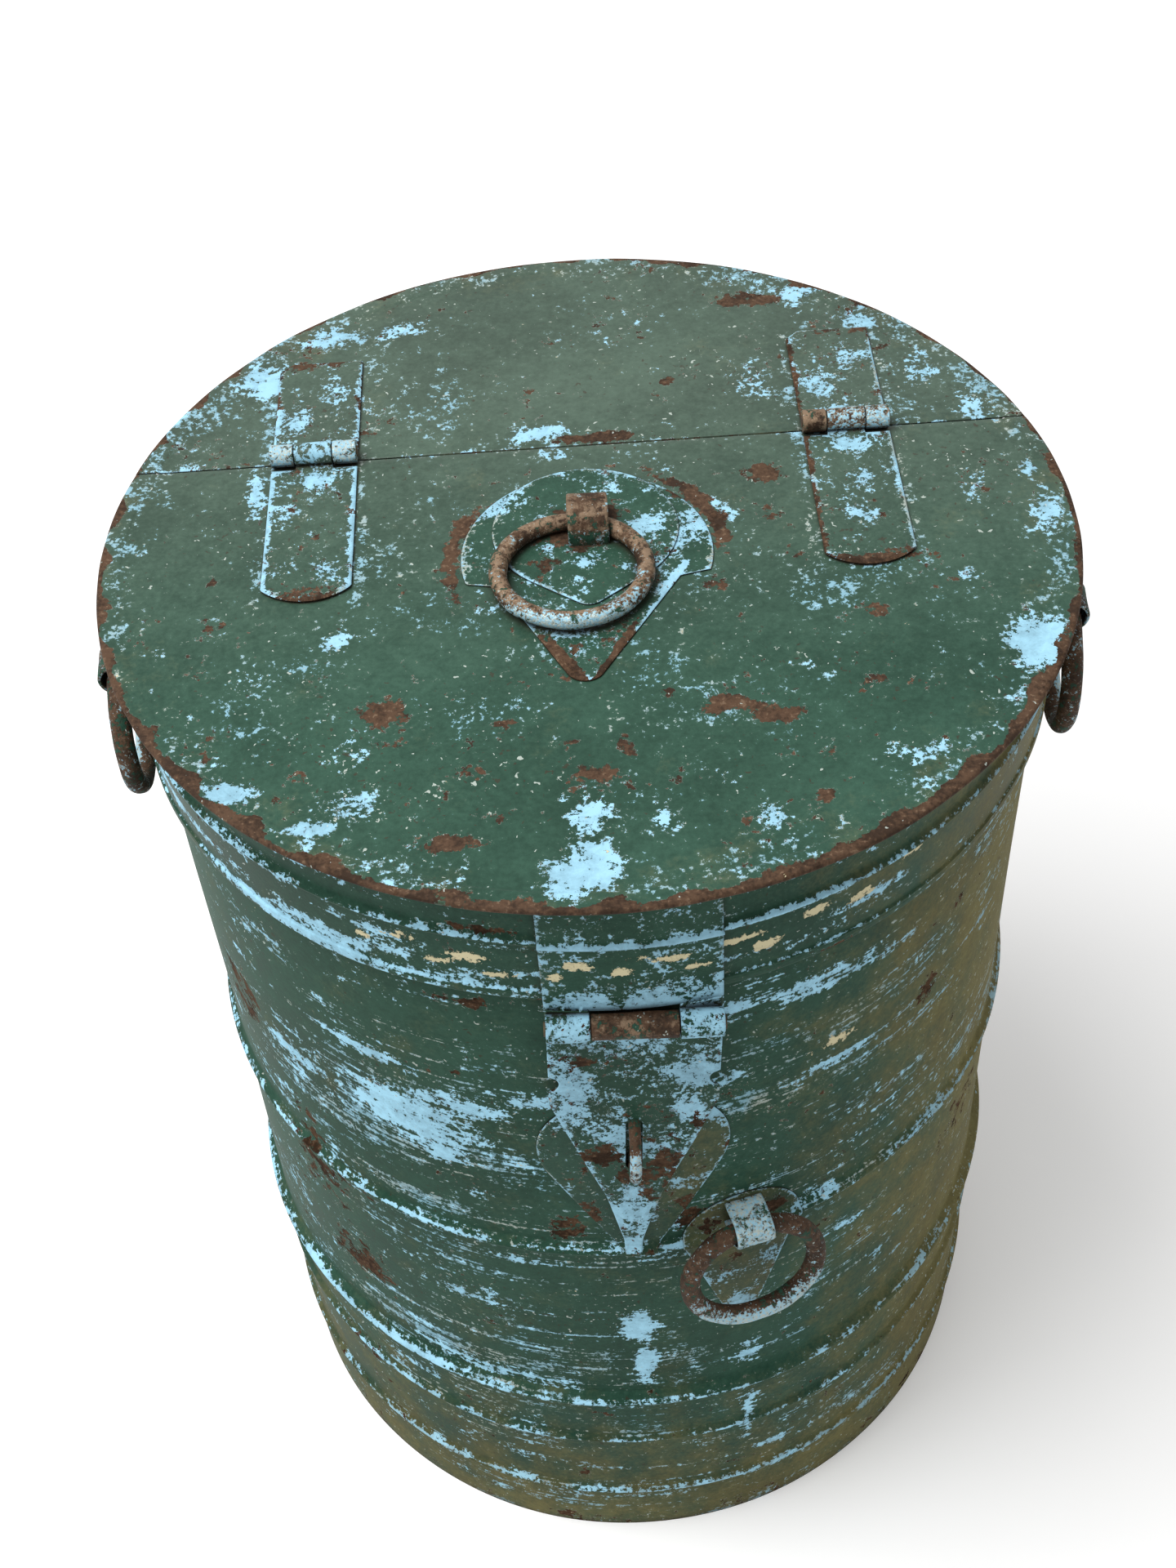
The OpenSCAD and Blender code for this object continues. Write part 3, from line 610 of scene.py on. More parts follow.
def worn_paint(name, coat, seed=0.0, streak=0.0, blue_at=0.278, rust_at=0.24, chip=95.0, patches=20.0,
               grimy=0.0, gain=0.36, rough=0.4, gloss=0.17, far_coat=None, fresh=1.0):
    """Green paint over light blue paint over rust. Each lower coat shows where its
    mark and several sizes of cloudy noise together pass a threshold, and the green is
    rubbed pale just outside a chip. Streak is how much level scratches add, gain how
    much a mark counts, the far coat the greyer tone that the green fades to towards the back
    as painted sheen, and the blue gain how much brighter the blue is painted as painted light."""
    paint = bpy.context.scene.drum_paint
    nodes = Nodes(name)
    large = nodes.noise(patches, 5.0, 0.6, seed)
    small = nodes.noise(chip, 7.0, 0.76, seed + 5, warp=0.3)
    fine = nodes.noise(chip * 3.6, 4.0, 0.65, seed + 9)
    middle = nodes.noise(chip * 0.42, 6.0, 0.7, seed + 7, warp=0.5)
    terms = [(large, 0.5), (middle, 0.65), (small, 1.0), (fine, 0.8), (nodes.mark("blue"), gain)]
    brown = [(nodes.noise(patches * 1.4, 6.0, 0.62, seed + 13), 0.95), (fine, 0.5),
             (nodes.noise(chip * 1.3, 6.0, 0.66, seed + 17), 1.05), (nodes.mark("rust"), gain + 0.1)]
    lines = []
    if streak:
        band = nodes.noise(5.0, 7.0, 0.62, seed + 21, stretch=(1, 1, 22))
        hair = nodes.noise(9.0, 5.0, 0.6, seed + 25, stretch=(1, 1, 60))
        terms += [(band, streak), (hair, streak * 0.5)]
        brown += [(band, -streak * 0.5)]
        lines = [(band, streak * 0.8), (hair, streak)]
    edge = nodes.mark("edge")
    bare = nodes.sum(*terms, (edge, 0.09))
    gone = nodes.sum(*brown, (edge, 0.05))
    # the top coat: slow and fine changes of tone, grime in its hollows
    tone = nodes.sum((nodes.noise(9.0, 6.0, 0.7, seed + 29), 0.6), (small, 0.5), (fine, 0.4))
    shades = [nodes.mix(nodes.step(tone, -0.22, 0.22), tuple(0.72 * c for c in shade),
                        tuple(1.3 * c + 0.008 for c in shade)) for shade in (coat, far_coat or coat)]
    # painted sheen: towards the back the green fades to the far coat, the greyer green that paints the room's
    # reflection
    back = nodes.add("ShaderNodeSeparateXYZ", {0: nodes.place}).outputs["Y"]
    green = nodes.mix(nodes.step(nodes.sum((back, 1.0), (tone, 0.1)), -0.14, 0.13), *shades)
    dirt = nodes.sum((nodes.mark("grime"), 1.0), (nodes.noise(30.0, 5.0, 0.6, seed + 33), 1.3),
                     (fine, 0.5))
    dirt = nodes.step(dirt, 0.1 - grimy, 1.0 - grimy, 0.0, 0.85)
    mud = nodes.mix(nodes.step(tone, -0.2, 0.2), tuple(0.7 * c for c in paint.olive),
                    tuple(1.22 * c for c in paint.olive))
    green = nodes.mix(dirt, green, mud)
    # rubbed places: fine pale grains
    scuff = nodes.sum((nodes.mark("scuff"), 0.2), (fine, 0.8), (small, 0.9), (large, 0.5),
                      (edge, 0.12), *lines)
    rubbed = nodes.step(scuff, 0.2, 0.27, 0.0, 0.7)
    light = nodes.mix(nodes.step(large, -0.1, 0.1), tuple(paint.pale), tuple(paint.blue))
    green = nodes.mix(rubbed, green, light)
    # the blue coat, stained in places, with a pale broken edge
    # painted light: the blue gain paints the blue brighter on the wall and the collar, where less light
    # reaches
    old = nodes.mix(nodes.step(nodes.sum((small, 1.0), (large, 0.7)), -0.16, 0.2),
                    tuple(0.74 * fresh * c for c in paint.blue),
                    tuple(min(1.0, 1.1 * fresh * c) for c in paint.blue))
    old = nodes.mix(nodes.step(dirt, 0.15, 0.85, 0.0, 0.45), old, tuple(paint.olive))
    halo = nodes.step(bare, blue_at - 0.035, blue_at - 0.005, 0.0, 0.6)
    halo = nodes.math("MULTIPLY", halo, nodes.step(fine, -0.06, 0.1))
    colour = nodes.mix(halo, green, tuple(paint.pale))
    chipped = nodes.step(bare, blue_at - 0.004, blue_at + 0.006)
    colour = nodes.mix(chipped, colour, old)
    # rust through both coats, with a pale rim where it lifts the blue
    brown_rim = nodes.step(gone, rust_at - 0.03, rust_at - 0.004, 0.0, 0.55)
    brown_rim = nodes.math("MULTIPLY", brown_rim, nodes.step(fine, -0.04, 0.12))
    colour = nodes.mix(brown_rim, colour, tuple(paint.pale))
    rusty = nodes.step(gone, rust_at - 0.006, rust_at + 0.012)
    iron, grain = rust_layer(nodes, paint, seed + 37)
    colour = nodes.mix(rusty, colour, iron)
    dark_rust = tuple(0.5 * c for c in paint.rust)
    colour = nodes.specks_with_corner_shade(colour, tuple(paint.pale), dark_rust, seed + 41)
    smear = nodes.sum((nodes.mark("cream"), 0.5), (small, 1.2), (fine, 0.6))
    smear = nodes.step(smear, 0.26, 0.29)
    colour = nodes.mix(smear, colour, tuple(paint.cream))
    roughness = nodes.sum((chipped, 0.12), (rusty, 0.35), (tone, 0.35), (rubbed, 0.12), (dirt, 0.2))
    roughness = nodes.math("ADD", roughness, rough)
    height = nodes.sum((chipped, -0.5), (rusty, -0.35), (small, 0.25), (fine, 0.12), (smear, 0.4),
                       (nodes.math("MULTIPLY", grain, rusty), 1.2))
    return nodes.finish(colour, roughness, height, 0.0005, gloss=gloss)


def rubbed_rod(name, seed=0.0, blue_at=0.1, bare_at=0.12, chip=260.0, tint=1.0, gloss=0.15):
    """Iron rod or strip whose paint is nearly gone: rust and rubbed brown iron, with
    remains of the blue and green coats where the mark is high."""
    paint = bpy.context.scene.drum_paint
    nodes = Nodes(name)
    small = nodes.noise(chip, 6.0, 0.74, seed)
    large = nodes.noise(70.0, 5.0, 0.7, seed + 3)
    fine = nodes.noise(chip * 3.0, 3.0, 0.6, seed + 7)
    colour, grain = rust_layer(nodes, paint, seed + 11)
    bright = nodes.sum((nodes.mark("edge"), 0.25), (small, 0.9), (large, 0.6))
    worn = nodes.step(bright, bare_at - 0.05, bare_at + 0.12, 0.0, 0.85)
    colour = nodes.mix(worn, colour, tuple(min(1.0, tint * c) for c in paint.iron))
    green = nodes.step(nodes.sum((nodes.mark("grime"), 0.3), (small, -0.9), (large, 0.8)), 0.09, 0.13)
    colour = nodes.mix(green, colour, tuple(paint.green))
    old = nodes.sum((nodes.mark("blue"), 0.3), (small, 0.8), (large, -0.5), (fine, 0.5))
    blue = nodes.step(old, blue_at + 0.09, blue_at + 0.115)
    rim = nodes.step(old, blue_at + 0.055, blue_at + 0.09, 0.0, 0.6)
    colour = nodes.mix(rim, colour, tuple(paint.pale))
    light = nodes.mix(nodes.step(fine, -0.1, 0.1), tuple(paint.pale), tuple(paint.blue))
    colour = nodes.mix(blue, colour, light)
    colour = nodes.specks_with_corner_shade(colour, tuple(paint.pale), tuple(0.35 * c for c in paint.rust), seed + 15, 1.2)
    rough = nodes.math("ADD", nodes.sum((worn, -0.2), (blue, -0.1), (grain, 0.3)), 0.66)
    height = nodes.sum((blue, 0.5), (green, 0.35), (grain, 1.2), (small, 1.2))
    metal = nodes.math("MULTIPLY", worn, 0.35)
    return nodes.finish(colour, rough, height, 0.0006, metal, gloss)


def bare_rust(name, seed=0.0):
    """Plain rusty iron that was never seen, for pins and the base disc."""
    paint = bpy.context.scene.drum_paint
    nodes = Nodes(name)
    colour, grain = rust_layer(nodes, paint, seed)
    cloud = nodes.noise(25.0, 5.0, 0.6, seed + 5)
    colour = nodes.mix(nodes.step(cloud, -0.1, 0.2, 0.0, 0.4), colour, tuple(paint.olive))
    rough = nodes.math("ADD", nodes.sum((grain, 0.3), (cloud, 0.2)), 0.75)
    return nodes.finish(colour, rough, nodes.sum((grain, 1.0), (cloud, 1.0)), 0.0004)


def once(name, make, *args, **settings):
    """The material of that name, made when it is first asked for."""
    return bpy.data.materials.get(name) or make(name, *args, **settings)


def lid_paint():
    """Green of the lid's sheet, greyer towards the back as a painted sheen."""
    paint = bpy.context.scene.drum_paint
    return once("lid green over blue", worn_paint, tuple(paint.green), seed=0.0,
                far_coat=tuple(paint.rear_sheen_green))


def rear_paint():
    """Green of the fixed rear top, greyer towards the back as a painted sheen."""
    paint = bpy.context.scene.drum_paint
    return once("rear green over blue", worn_paint, tuple(paint.green), seed=2.0, blue_at=0.255,
                far_coat=tuple(paint.rear_sheen_green))


def wall_paint():
    """Green of the wall, with level scratches down to blue that is painted brighter as painted light."""
    paint = bpy.context.scene.drum_paint
    return once("wall green over blue", worn_paint, tuple(paint.green), seed=4.0, streak=0.9,
                blue_at=0.275, rust_at=0.28, grimy=0.1, gain=0.42, rough=0.5, gloss=0.04,
                fresh=1.25)


def collar_paint():
    """Green of both collars, with level scratches, chipped more finely than the wall, its blue painted
    brighter as painted light.
    """
    paint = bpy.context.scene.drum_paint
    return once("collar green over blue", worn_paint, tuple(paint.green), seed=8.0, streak=0.8,
                blue_at=0.26, rust_at=0.28, grimy=0.08, chip=120.0, gain=0.42, gloss=0.05,
                fresh=1.25)


def leaf_paint():
    """Green of the hinge leaves on the lid, greyer towards the back as a painted sheen."""
    paint = bpy.context.scene.drum_paint
    return once("leaf green over blue", worn_paint, tuple(paint.green), seed=10.0, blue_at=0.17,
                rust_at=0.2, chip=130.0, patches=35.0, far_coat=tuple(paint.rear_sheen_green))


def rear_leaf_paint():
    """Greyer green of the hinge leaves on the fixed top, a painted sheen."""
    paint = bpy.context.scene.drum_paint
    return once("rear leaf green over blue", worn_paint, tuple(paint.rear_sheen_green), seed=12.0,
                blue_at=0.17, rust_at=0.2, chip=130.0, patches=35.0)


def wall_plate_paint():
    """Grimy green of the plates on the wall and the collar."""
    paint = bpy.context.scene.drum_paint
    return once("wall plate green over blue", worn_paint, tuple(paint.green), seed=16.0,
                blue_at=0.17, rust_at=0.2, chip=130.0, patches=35.0, streak=0.4, grimy=0.1,
                gloss=0.05)


def hasp_paint():
    """Green of the hasp strap, most of it worn down to blue."""
    paint = bpy.context.scene.drum_paint
    return once("hasp green over blue", worn_paint, tuple(paint.green), seed=6.0, blue_at=0.12,
                rust_at=0.19, chip=150.0, patches=40.0, gloss=0.05)


# ---- where the wear lies ----

# each spot is a place to the right and back, its two radii, and how strong it is
TOP_BLUE = (
    (-0.012, -0.222, 0.026, 0.022, 1.0), (-0.008, -0.195, 0.016, 0.016, 0.8),
    (-0.115, -0.178, 0.02, 0.013, 1.0), (-0.172, -0.166, 0.016, 0.01, 1.0),
    (-0.13, -0.19, 0.018, 0.006, 0.9), (0.21, -0.1, 0.02, 0.024, 1.0),
    (0.075, -0.2, 0.009, 0.011, 0.9), (-0.175, 0.15, 0.022, 0.022, 0.9),
    (-0.135, 0.185, 0.03, 0.014, 0.9), (-0.095, 0.19, 0.022, 0.012, 0.7),
    (-0.15, 0.12, 0.02, 0.016, 0.7), (-0.172, 0.045, 0.009, 0.028, 0.9),
    (-0.125, -0.07, 0.011, 0.01, 0.9), (0.163, 0.175, 0.018, 0.02, 0.8),
    (0.13, 0.2, 0.02, 0.008, 0.7), (-0.022, 0.085, 0.022, 0.008, 0.85),
    (-0.01, 0.066, 0.02, 0.007, 0.8), (0.096, 0.12, 0.02, 0.024, 0.55),
    (0.19, 0.12, 0.018, 0.02, 0.65), (0.2, 0.02, 0.012, 0.02, 0.6),
    (0.236, -0.005, 0.009, 0.022, 0.9), (0.232, 0.03, 0.009, 0.012, 0.8),
    (0.19, -0.05, 0.014, 0.014, 0.5), (-0.168, -0.09, 0.013, 0.015, 0.6),
    (-0.115, -0.145, 0.018, 0.02, 0.55), (-0.02, -0.13, 0.016, 0.02, 0.4),
    (0.07, 0.01, 0.014, 0.02, 0.55), (-0.05, -0.045, 0.014, 0.018, 0.45),
    (0.1, -0.105, 0.012, 0.016, 0.4), (-0.215, -0.08, 0.01, 0.03, 0.35),
    (-0.21, 0.08, 0.012, 0.02, 0.5), (0.04, 0.05, 0.02, 0.008, 0.45),
    (-0.115, 0.13, 0.01, 0.04, 0.4), (0.215, 0.08, 0.014, 0.014, 0.45),
    (0.03, -0.2, 0.012, 0.014, 0.55), (0.145, -0.165, 0.016, 0.01, 0.4))
TOP_RUST = (
    (-0.1, -0.12, 0.015, 0.014, 0.8), (-0.066, -0.205, 0.022, 0.008, 0.8),
    (-0.05, -0.19, 0.012, 0.008, 0.7), (0.062, -0.128, 0.016, 0.008, 1.0),
    (0.085, -0.136, 0.018, 0.007, 0.9), (0.095, 0.04, 0.012, 0.012, 0.7),
    (0.1, 0.197, 0.028, 0.008, 0.8), (0.013, -0.15, 0.008, 0.012, 0.8),
    (-0.045, -0.132, 0.01, 0.004, 0.8), (0.034, -0.118, 0.006, 0.006, 1.0),
    (0.062, -0.045, 0.01, 0.008, 0.6), (0.135, -0.07, 0.014, 0.008, 0.6),
    (0.1, -0.19, 0.006, 0.005, 0.9), (0.155, -0.03, 0.01, 0.006, 0.6),
    (0.05, 0.125, 0.008, 0.006, 0.7), (0.0, -0.17, 0.02, 0.006, 0.5),
    (-0.06, -0.16, 0.012, 0.008, 0.5), (0.13, -0.12, 0.012, 0.006, 0.6))
TOP_SCUFF = (
    (0.02, -0.04, 0.12, 0.1, 0.55), (-0.1, 0.0, 0.03, 0.06, 0.6), (0.12, -0.03, 0.06, 0.06, 0.7),
    (-0.12, 0.12, 0.07, 0.09, 0.55), (0.14, 0.12, 0.07, 0.08, 0.55), (0.03, -0.13, 0.12, 0.05, 0.5),
    (-0.15, -0.1, 0.05, 0.06, 0.5), (0.2, -0.08, 0.04, 0.08, 0.4), (0.0, 0.07, 0.12, 0.02, 0.5),
    (0.0, 0.18, 0.1, 0.04, 0.25))
# on the wall and the collar, a place is an angle in degrees from the front, and a height
WALL_BLUE = (
    (-27, 0.455, 12, 0.03, 1.0), (-20, 0.475, 10, 0.014, 0.9), (-33, 0.5, 10, 0.012, 0.8),
    (-24, 0.425, 5, 0.016, 0.9), (-20, 0.395, 6, 0.01, 0.8), (26, 0.55, 12, 0.012, 0.9),
    (36, 0.545, 9, 0.008, 0.8), (14, 0.555, 4, 0.012, 0.8), (27, 0.478, 7, 0.008, 0.75),
    (0, 0.262, 4.0, 0.026, 1.1), (1, 0.222, 2.3, 0.034, 1.1), (16, 0.135, 1.8, 0.045, 0.8),
    (16, 0.21, 3.2, 0.018, 0.9), (-24, 0.285, 9, 0.014, 0.8), (-30, 0.3, 8, 0.01, 0.7),
    (-18, 0.192, 14, 0.008, 0.9), (-30, 0.195, 10, 0.006, 0.8), (-42, 0.36, 8, 0.02, 0.6),
    (-48, 0.45, 8, 0.03, 0.6), (-56, 0.38, 8, 0.03, 0.6), (-50, 0.54, 14, 0.008, 0.8),
    (-30, 0.555, 12, 0.006, 0.7), (13, 0.498, 4, 0.014, 0.7), (-10, 0.49, 8, 0.012, 0.6),
    (30, 0.3, 7, 0.008, 0.55), (38, 0.24, 3, 0.01, 0.9), (-36, 0.15, 12, 0.016, 0.6),
    (-20, 0.135, 10, 0.008, 0.6), (-30, 0.09, 14, 0.012, 0.6), (-8, 0.085, 10, 0.006, 0.5),
    (20, 0.08, 6, 0.008, 0.6), (26, 0.36, 5, 0.008, 0.6), (40, 0.4, 8, 0.006, 0.5),
    (-16, 0.33, 8, 0.006, 0.6), (-62, 0.27, 10, 0.03, 0.45), (5, 0.34, 5, 0.008, 0.5),
    (70, 0.5, 6, 0.03, 0.4), (110, 0.3, 16, 0.02, 0.6), (160, 0.48, 20, 0.02, 0.7),
    (-110, 0.42, 18, 0.03, 0.7), (-150, 0.2, 20, 0.02, 0.6), (150, 0.12, 18, 0.02, 0.6))
WALL_RUST = (
    (-18, 0.567, 5, 0.005, 0.9), (44, 0.48, 3, 0.012, 0.8), (-38, 0.34, 5, 0.014, 0.5),
    (-8, 0.372, 4, 0.014, 0.95), (8, 0.374, 4, 0.014, 1.0),
    (2, 0.356, 5, 0.004, 0.7), (10, 0.35, 3, 0.02, 0.6), (-22, 0.25, 4, 0.006, 0.5),
    (9, 0.335, 3, 0.006, 0.5), (-48, 0.12, 8, 0.02, 0.4), (60, 0.3, 8, 0.03, 0.3),
    (-50, 0.33, 9, 0.05, 0.6), (-44, 0.25, 8, 0.03, 0.55), (-60, 0.45, 8, 0.05, 0.5),
    (-2, 0.04, 10, 0.006, 0.5), (36, 0.1, 8, 0.012, 0.4), (130, 0.25, 16, 0.04, 0.6),
    (-160, 0.35, 16, 0.05, 0.6), (-95, 0.15, 14, 0.04, 0.5), (95, 0.2, 12, 0.05, 0.5))
COLLAR_BLUE = (
    (-45, 0.643, 22, 0.006, 0.9), (-66, 0.637, 16, 0.007, 0.9), (-24, 0.601, 8, 0.005, 0.8),
    (-12, 0.618, 8, 0.004, 0.8), (6, 0.615, 6, 0.005, 0.8), (-34, 0.597, 10, 0.005, 0.8),
    (-48, 0.622, 20, 0.007, 0.9), (-30, 0.612, 14, 0.005, 0.7), (-60, 0.602, 16, 0.006, 0.8),
    (-40, 0.588, 18, 0.004, 0.8), (-30, 0.641, 16, 0.004, 0.6), (22, 0.644, 8, 0.005, 0.9),
    (32, 0.637, 6, 0.004, 0.8), (30, 0.606, 7, 0.006, 0.7), (-2, 0.612, 8, 0.006, 0.5),
    (22, 0.595, 8, 0.005, 0.5), (-14, 0.6, 8, 0.006, 0.6), (48, 0.625, 8, 0.004, 0.5),
    (60, 0.61, 8, 0.005, 0.5), (-120, 0.61, 20, 0.008, 0.8), (130, 0.6, 24, 0.006, 0.7),
    (170, 0.63, 20, 0.005, 0.7), (8, 0.637, 8, 0.003, 0.5), (-4, 0.588, 5, 0.005, 0.8),
    (9, 0.59, 6, 0.004, 0.8), (-17, 0.592, 6, 0.004, 0.6), (12, 0.649, 9, 0.002, 0.8),
    (20, 0.65, 14, 0.002, 0.9), (-20, 0.649, 16, 0.002, 0.7), (14, 0.6, 6, 0.004, 0.7))
COLLAR_CREAM = (
    (-16, 0.608, 3.6, 0.005, 0.95), (-13, 0.598, 2.6, 0.004, 0.9), (14, 0.612, 3.6, 0.004, 0.95),
    (17, 0.603, 2.8, 0.004, 0.9), (23, 0.614, 3.0, 0.004, 0.95), (29, 0.61, 3.2, 0.0034, 0.9),
    (-24, 0.613, 3.4, 0.0034, 0.9), (36, 0.618, 2.6, 0.003, 0.8), (-20, 0.602, 2.4, 0.003, 0.8),
    (-29, 0.606, 2.2, 0.003, 0.75))


def top_wear(x, y):
    """Wear of the top: listed spots, a rusty band along the rim, and bare lines along
    the slit between lid and fixed top."""
    r = np.hypot(x, y)
    p = stack(x, y, 0.0)
    wide = 0.0035 + 0.004 * np.clip(0.3 - y / 0.3, 0, 1) + 0.0035 * waves(p, 0.02, 41)
    rim = np.clip((r - RIM_R + wide) / 0.0025, 0, 1)
    near = np.clip((r - RIM_R + 0.034) / 0.022, 0, 1) * (1 - rim)
    slit = np.exp(-((y - SEAM_Y) / 0.0022) ** 2)
    # rust beside the lid ring's plate, lower on the left than on the right
    round_plate = np.exp(-((np.hypot(x, y + 0.016) - 0.07) / 0.005) ** 2)
    level = np.where(x < 0, -0.012, 0.012)
    side = round_plate * np.clip(1.7 - abs(y - level) / 0.026, 0, 1)
    hinge = np.exp(-((abs(abs(x) - HINGE_X) - 0.026) / 0.004) ** 2) * (
        (y > SEAM_Y - 0.12) & (y < SEAM_Y + 0.09))
    front = np.clip(0.3 - y / 0.2, 0, 1)
    blue = np.maximum(spot(x, y, TOP_BLUE) + (0.12 + 0.25 * front) * near, 0.35 * slit)
    rust = np.maximum(spot(x, y, TOP_RUST), 0.95 * rim)
    rust = np.maximum(rust, 1.1 * side)
    rust = np.maximum(rust, line(x, y, ((-0.012, 0.078, 0.026, 0.08, 0.004, 0.95),)))
    scuff = np.maximum(spot(x, y, TOP_SCUFF), np.maximum(0.7 * near, 0.9 * hinge))
    return {"blue": blue, "rust": rust, "scuff": scuff, "grime": 0.15 * near + 0.25 * rim,
            "edge": 0.6 * slit}


def grime_of(a, z):
    """Grime grows towards the right side, the foot and the back."""
    deg = np.degrees(a)
    right = np.clip((deg - 18) / 50, 0, 1) * np.clip((190 - deg) / 60, 0, 1)
    foot = np.clip((0.22 - z) / 0.2, 0, 1)
    behind = np.clip((abs(deg) - 80) / 40, 0, 1)
    return np.maximum(1.0 * right, np.maximum(0.55 * foot, 0.6 * behind)) + 0.25 * right * foot


def wall_wear(a, z):
    """Wear of the wall: listed spots, worn lines along the ribs' crests, a scratch,
    and more grime to the right and at the foot."""
    deg = np.degrees(a)
    crest = np.max([np.exp(-((z - c - 0.1 * w) / (w * 0.2)) ** 2) for c, _, w in RIBS], axis=0)
    left = np.clip((-deg - 5) / 40, 0, 1) * np.clip((deg + 130) / 40, 0, 1)
    blue = np.maximum(spot(deg, z, WALL_BLUE), 0.5 * crest + 0.1 * left)
    foot = np.clip((0.02 - z) / 0.016, 0, 1)
    cream = line(deg, z * 1000, ((18, 497, 35, 493, 0.9, 0.8), (-30, 520, -6, 522, 0.6, 0.55)))
    rust = np.maximum(spot(deg, z, WALL_RUST), 0.4 * foot)
    scuff = np.maximum(0.75 * crest, spot(deg, z, (
        (-30, 0.42, 30, 0.16, 0.6), (20, 0.5, 25, 0.08, 0.6), (-20, 0.18, 40, 0.1, 0.6),
        (16, 0.3, 30, 0.1, 0.4), (60, 0.4, 20, 0.2, 0.3))))
    return {"blue": blue, "rust": rust, "scuff": scuff, "grime": grime_of(a, z), "cream": cream}


def collar_wear(a, z):
    """Wear of the collar: listed spots, worn lines on its bead and on its folded
    lower edge, partly painted highlights, painted shade under the rim drawn as a dark band of rust and grime,
    and smears of cream paint."""
    deg = np.degrees(a)
    bead = np.exp(-((z - BEAD_Z - 0.0008) / 0.0016) ** 2)
    hem = np.exp(-((z - SKIRT_LOW[2] - 0.0008) / 0.0012) ** 2)
    fold = np.exp(-((z - HEM_Z - 0.0006) / 0.0009) ** 2)
    # painted shade: a band of rust and grime just under the rim paints the rim's shade on the collar
    under = np.clip((z - TOP_Z + 0.012) / 0.008, 0, 1)
    left = np.clip((-deg - 10) / 30, 0, 1) * np.clip((deg + 130) / 40, 0, 1)
    brow = np.exp(-((z - TOP_Z + 0.013) / 0.0009) ** 2)
    # worn paint and painted highlights: the bead, fold and brow lines are worn pale, made stronger to the
    # front and left as painted highlights
    lines = np.maximum(np.maximum(0.95 * bead, 0.75 * fold), 0.7 * brow)
    front = np.clip(1.4 - abs(deg) / 50, 0.55, 1)
    blue = np.maximum(spot(deg, z, COLLAR_BLUE), np.maximum(lines, 0.6 * hem) * front) + 0.1 * left
    scuff = np.maximum(0.9 * bead, 0.8 * np.maximum(hem, fold))
    rust = spot(deg, z, ((-14, 0.63, 5, 0.004, 0.8), (-6, 0.647, 4, 0.003, 0.6), (40, 0.648, 8, 0.004, 0.7),
                         (26, 0.583, 4, 0.003, 0.6), (100, 0.6, 12, 0.01, 0.6)))
    return {"blue": blue, "rust": np.maximum(rust, 0.45 * under), "scuff": scuff,
            "grime": grime_of(a, z) * 0.8 + 0.5 * under,
            "cream": spot(deg, z, COLLAR_CREAM)}


# ---- pieces ----


class DRUM_OT_top(bpy.types.Operator):
    """Make the lid's sheet and the fixed rear top, with their rolled rims"""

    bl_idname = "drum.top"
    bl_label = "Lid and rear top"

    def cap(self, cut, turned):
        """The part of the round top in front of the line y = cut. The flat is rows
        across it whose half width is the circle's; the rim is a profile carried round
        the arc, its ends sheared to lie on the line. The rear top is made in front in
        the same way, with the dents and wear of its turned place, and turned later."""
        inner = WALL_R + 0.003
        reach = math.acos(-cut / inner)
        a = np.linspace(0, reach, 104)
        u = np.linspace(-1, 1, 121)
        x = u * (inner * np.sin(a))[:, None]
        y = np.broadcast_to((-inner * np.cos(a))[:, None], x.shape)
        sign = -1.0 if turned else 1.0
        surface = Surface()
        flat = on_top(sign * x, sign * y, 0.0)
        flat[..., :2] = np.stack([x, y], -1)
        surface.add(flat, **top_wear(sign * x, sign * y))
        lip = TOP_Z - LID_LOW[2]
        roll = np.radians(np.linspace(90, -90, 9))
        profile = np.concatenate([
            [[inner, FLAT_Z], [inner + 0.0008, FLAT_Z + 0.0004], [inner + 0.0018, TOP_Z]],
            [[inner + 0.005, TOP_Z], [RIM_R - 0.004, TOP_Z]],
            np.stack([RIM_R - lip / 2 + lip / 2 * np.cos(roll),
                      TOP_Z - lip / 2 + lip / 2 * np.sin(roll)], -1),
            [[RIM_R - 0.005, LID_LOW[2]], [COLLAR_R + 0.0024, LID_LOW[2]]]])
        share = np.concatenate([-a[:0:-1], a]) / reach
        r = profile[:, 0][:, None]
        turn = share * np.arccos(-cut / r)
        z = np.broadcast_to(profile[:, 1][:, None], turn.shape)
        rim = polar(r, turn, z)
        keep = np.clip((r - inner) / 0.002, 0, 1)
        uneven = waves(rim, 0.035, 51)
        rim[..., :2] *= 1 - keep[..., None] * 0.0012 * (0.5 + 0.5 * uneven[..., None])
        rim[..., 2] -= keep * 0.0003 * (1 + waves(rim, 0.05, 52))
        rim[0, :, 2] = FLAT_Z
        wear = top_wear(sign * rim[..., 0], sign * rim[..., 1])
        wear["edge"] = np.clip((r - RIM_R + 0.0035) / 0.003, 0, 1) + 0 * turn
        surface.add(rim, flip=True, **wear)
        return surface

    def execute(self, context):
        sheets = context.scene.drum_sheets
        lid = self.cap(CUT_Y, False)
        lid.build("lid_top", "lid", lid_paint(), "lid_paint", ("lid_sheet",), thickness=sheets.sheet)
        rear = self.cap(-TOP_LOW[1], True)
        rear.points = [p * (-1, -1, 1) for p in rear.points]
        # the lip that is turned down along the slit
        x = np.linspace(-1, 1, 80) * math.sqrt((WALL_R - 0.004) ** 2 - TOP_LOW[1] ** 2)
        z = np.linspace(FLAT_Z - 0.0002, FLAT_Z - 0.013, 5)[:, None]
        front = stack(x, TOP_LOW[1], z)
        rear.add(front, flip=True, rust=0.4, grime=0.3)
        rear.build("rear_top", "drum", rear_paint(), "top_paint", ("fixed_top",), thickness=sheets.sheet)
        return {"FINISHED"}


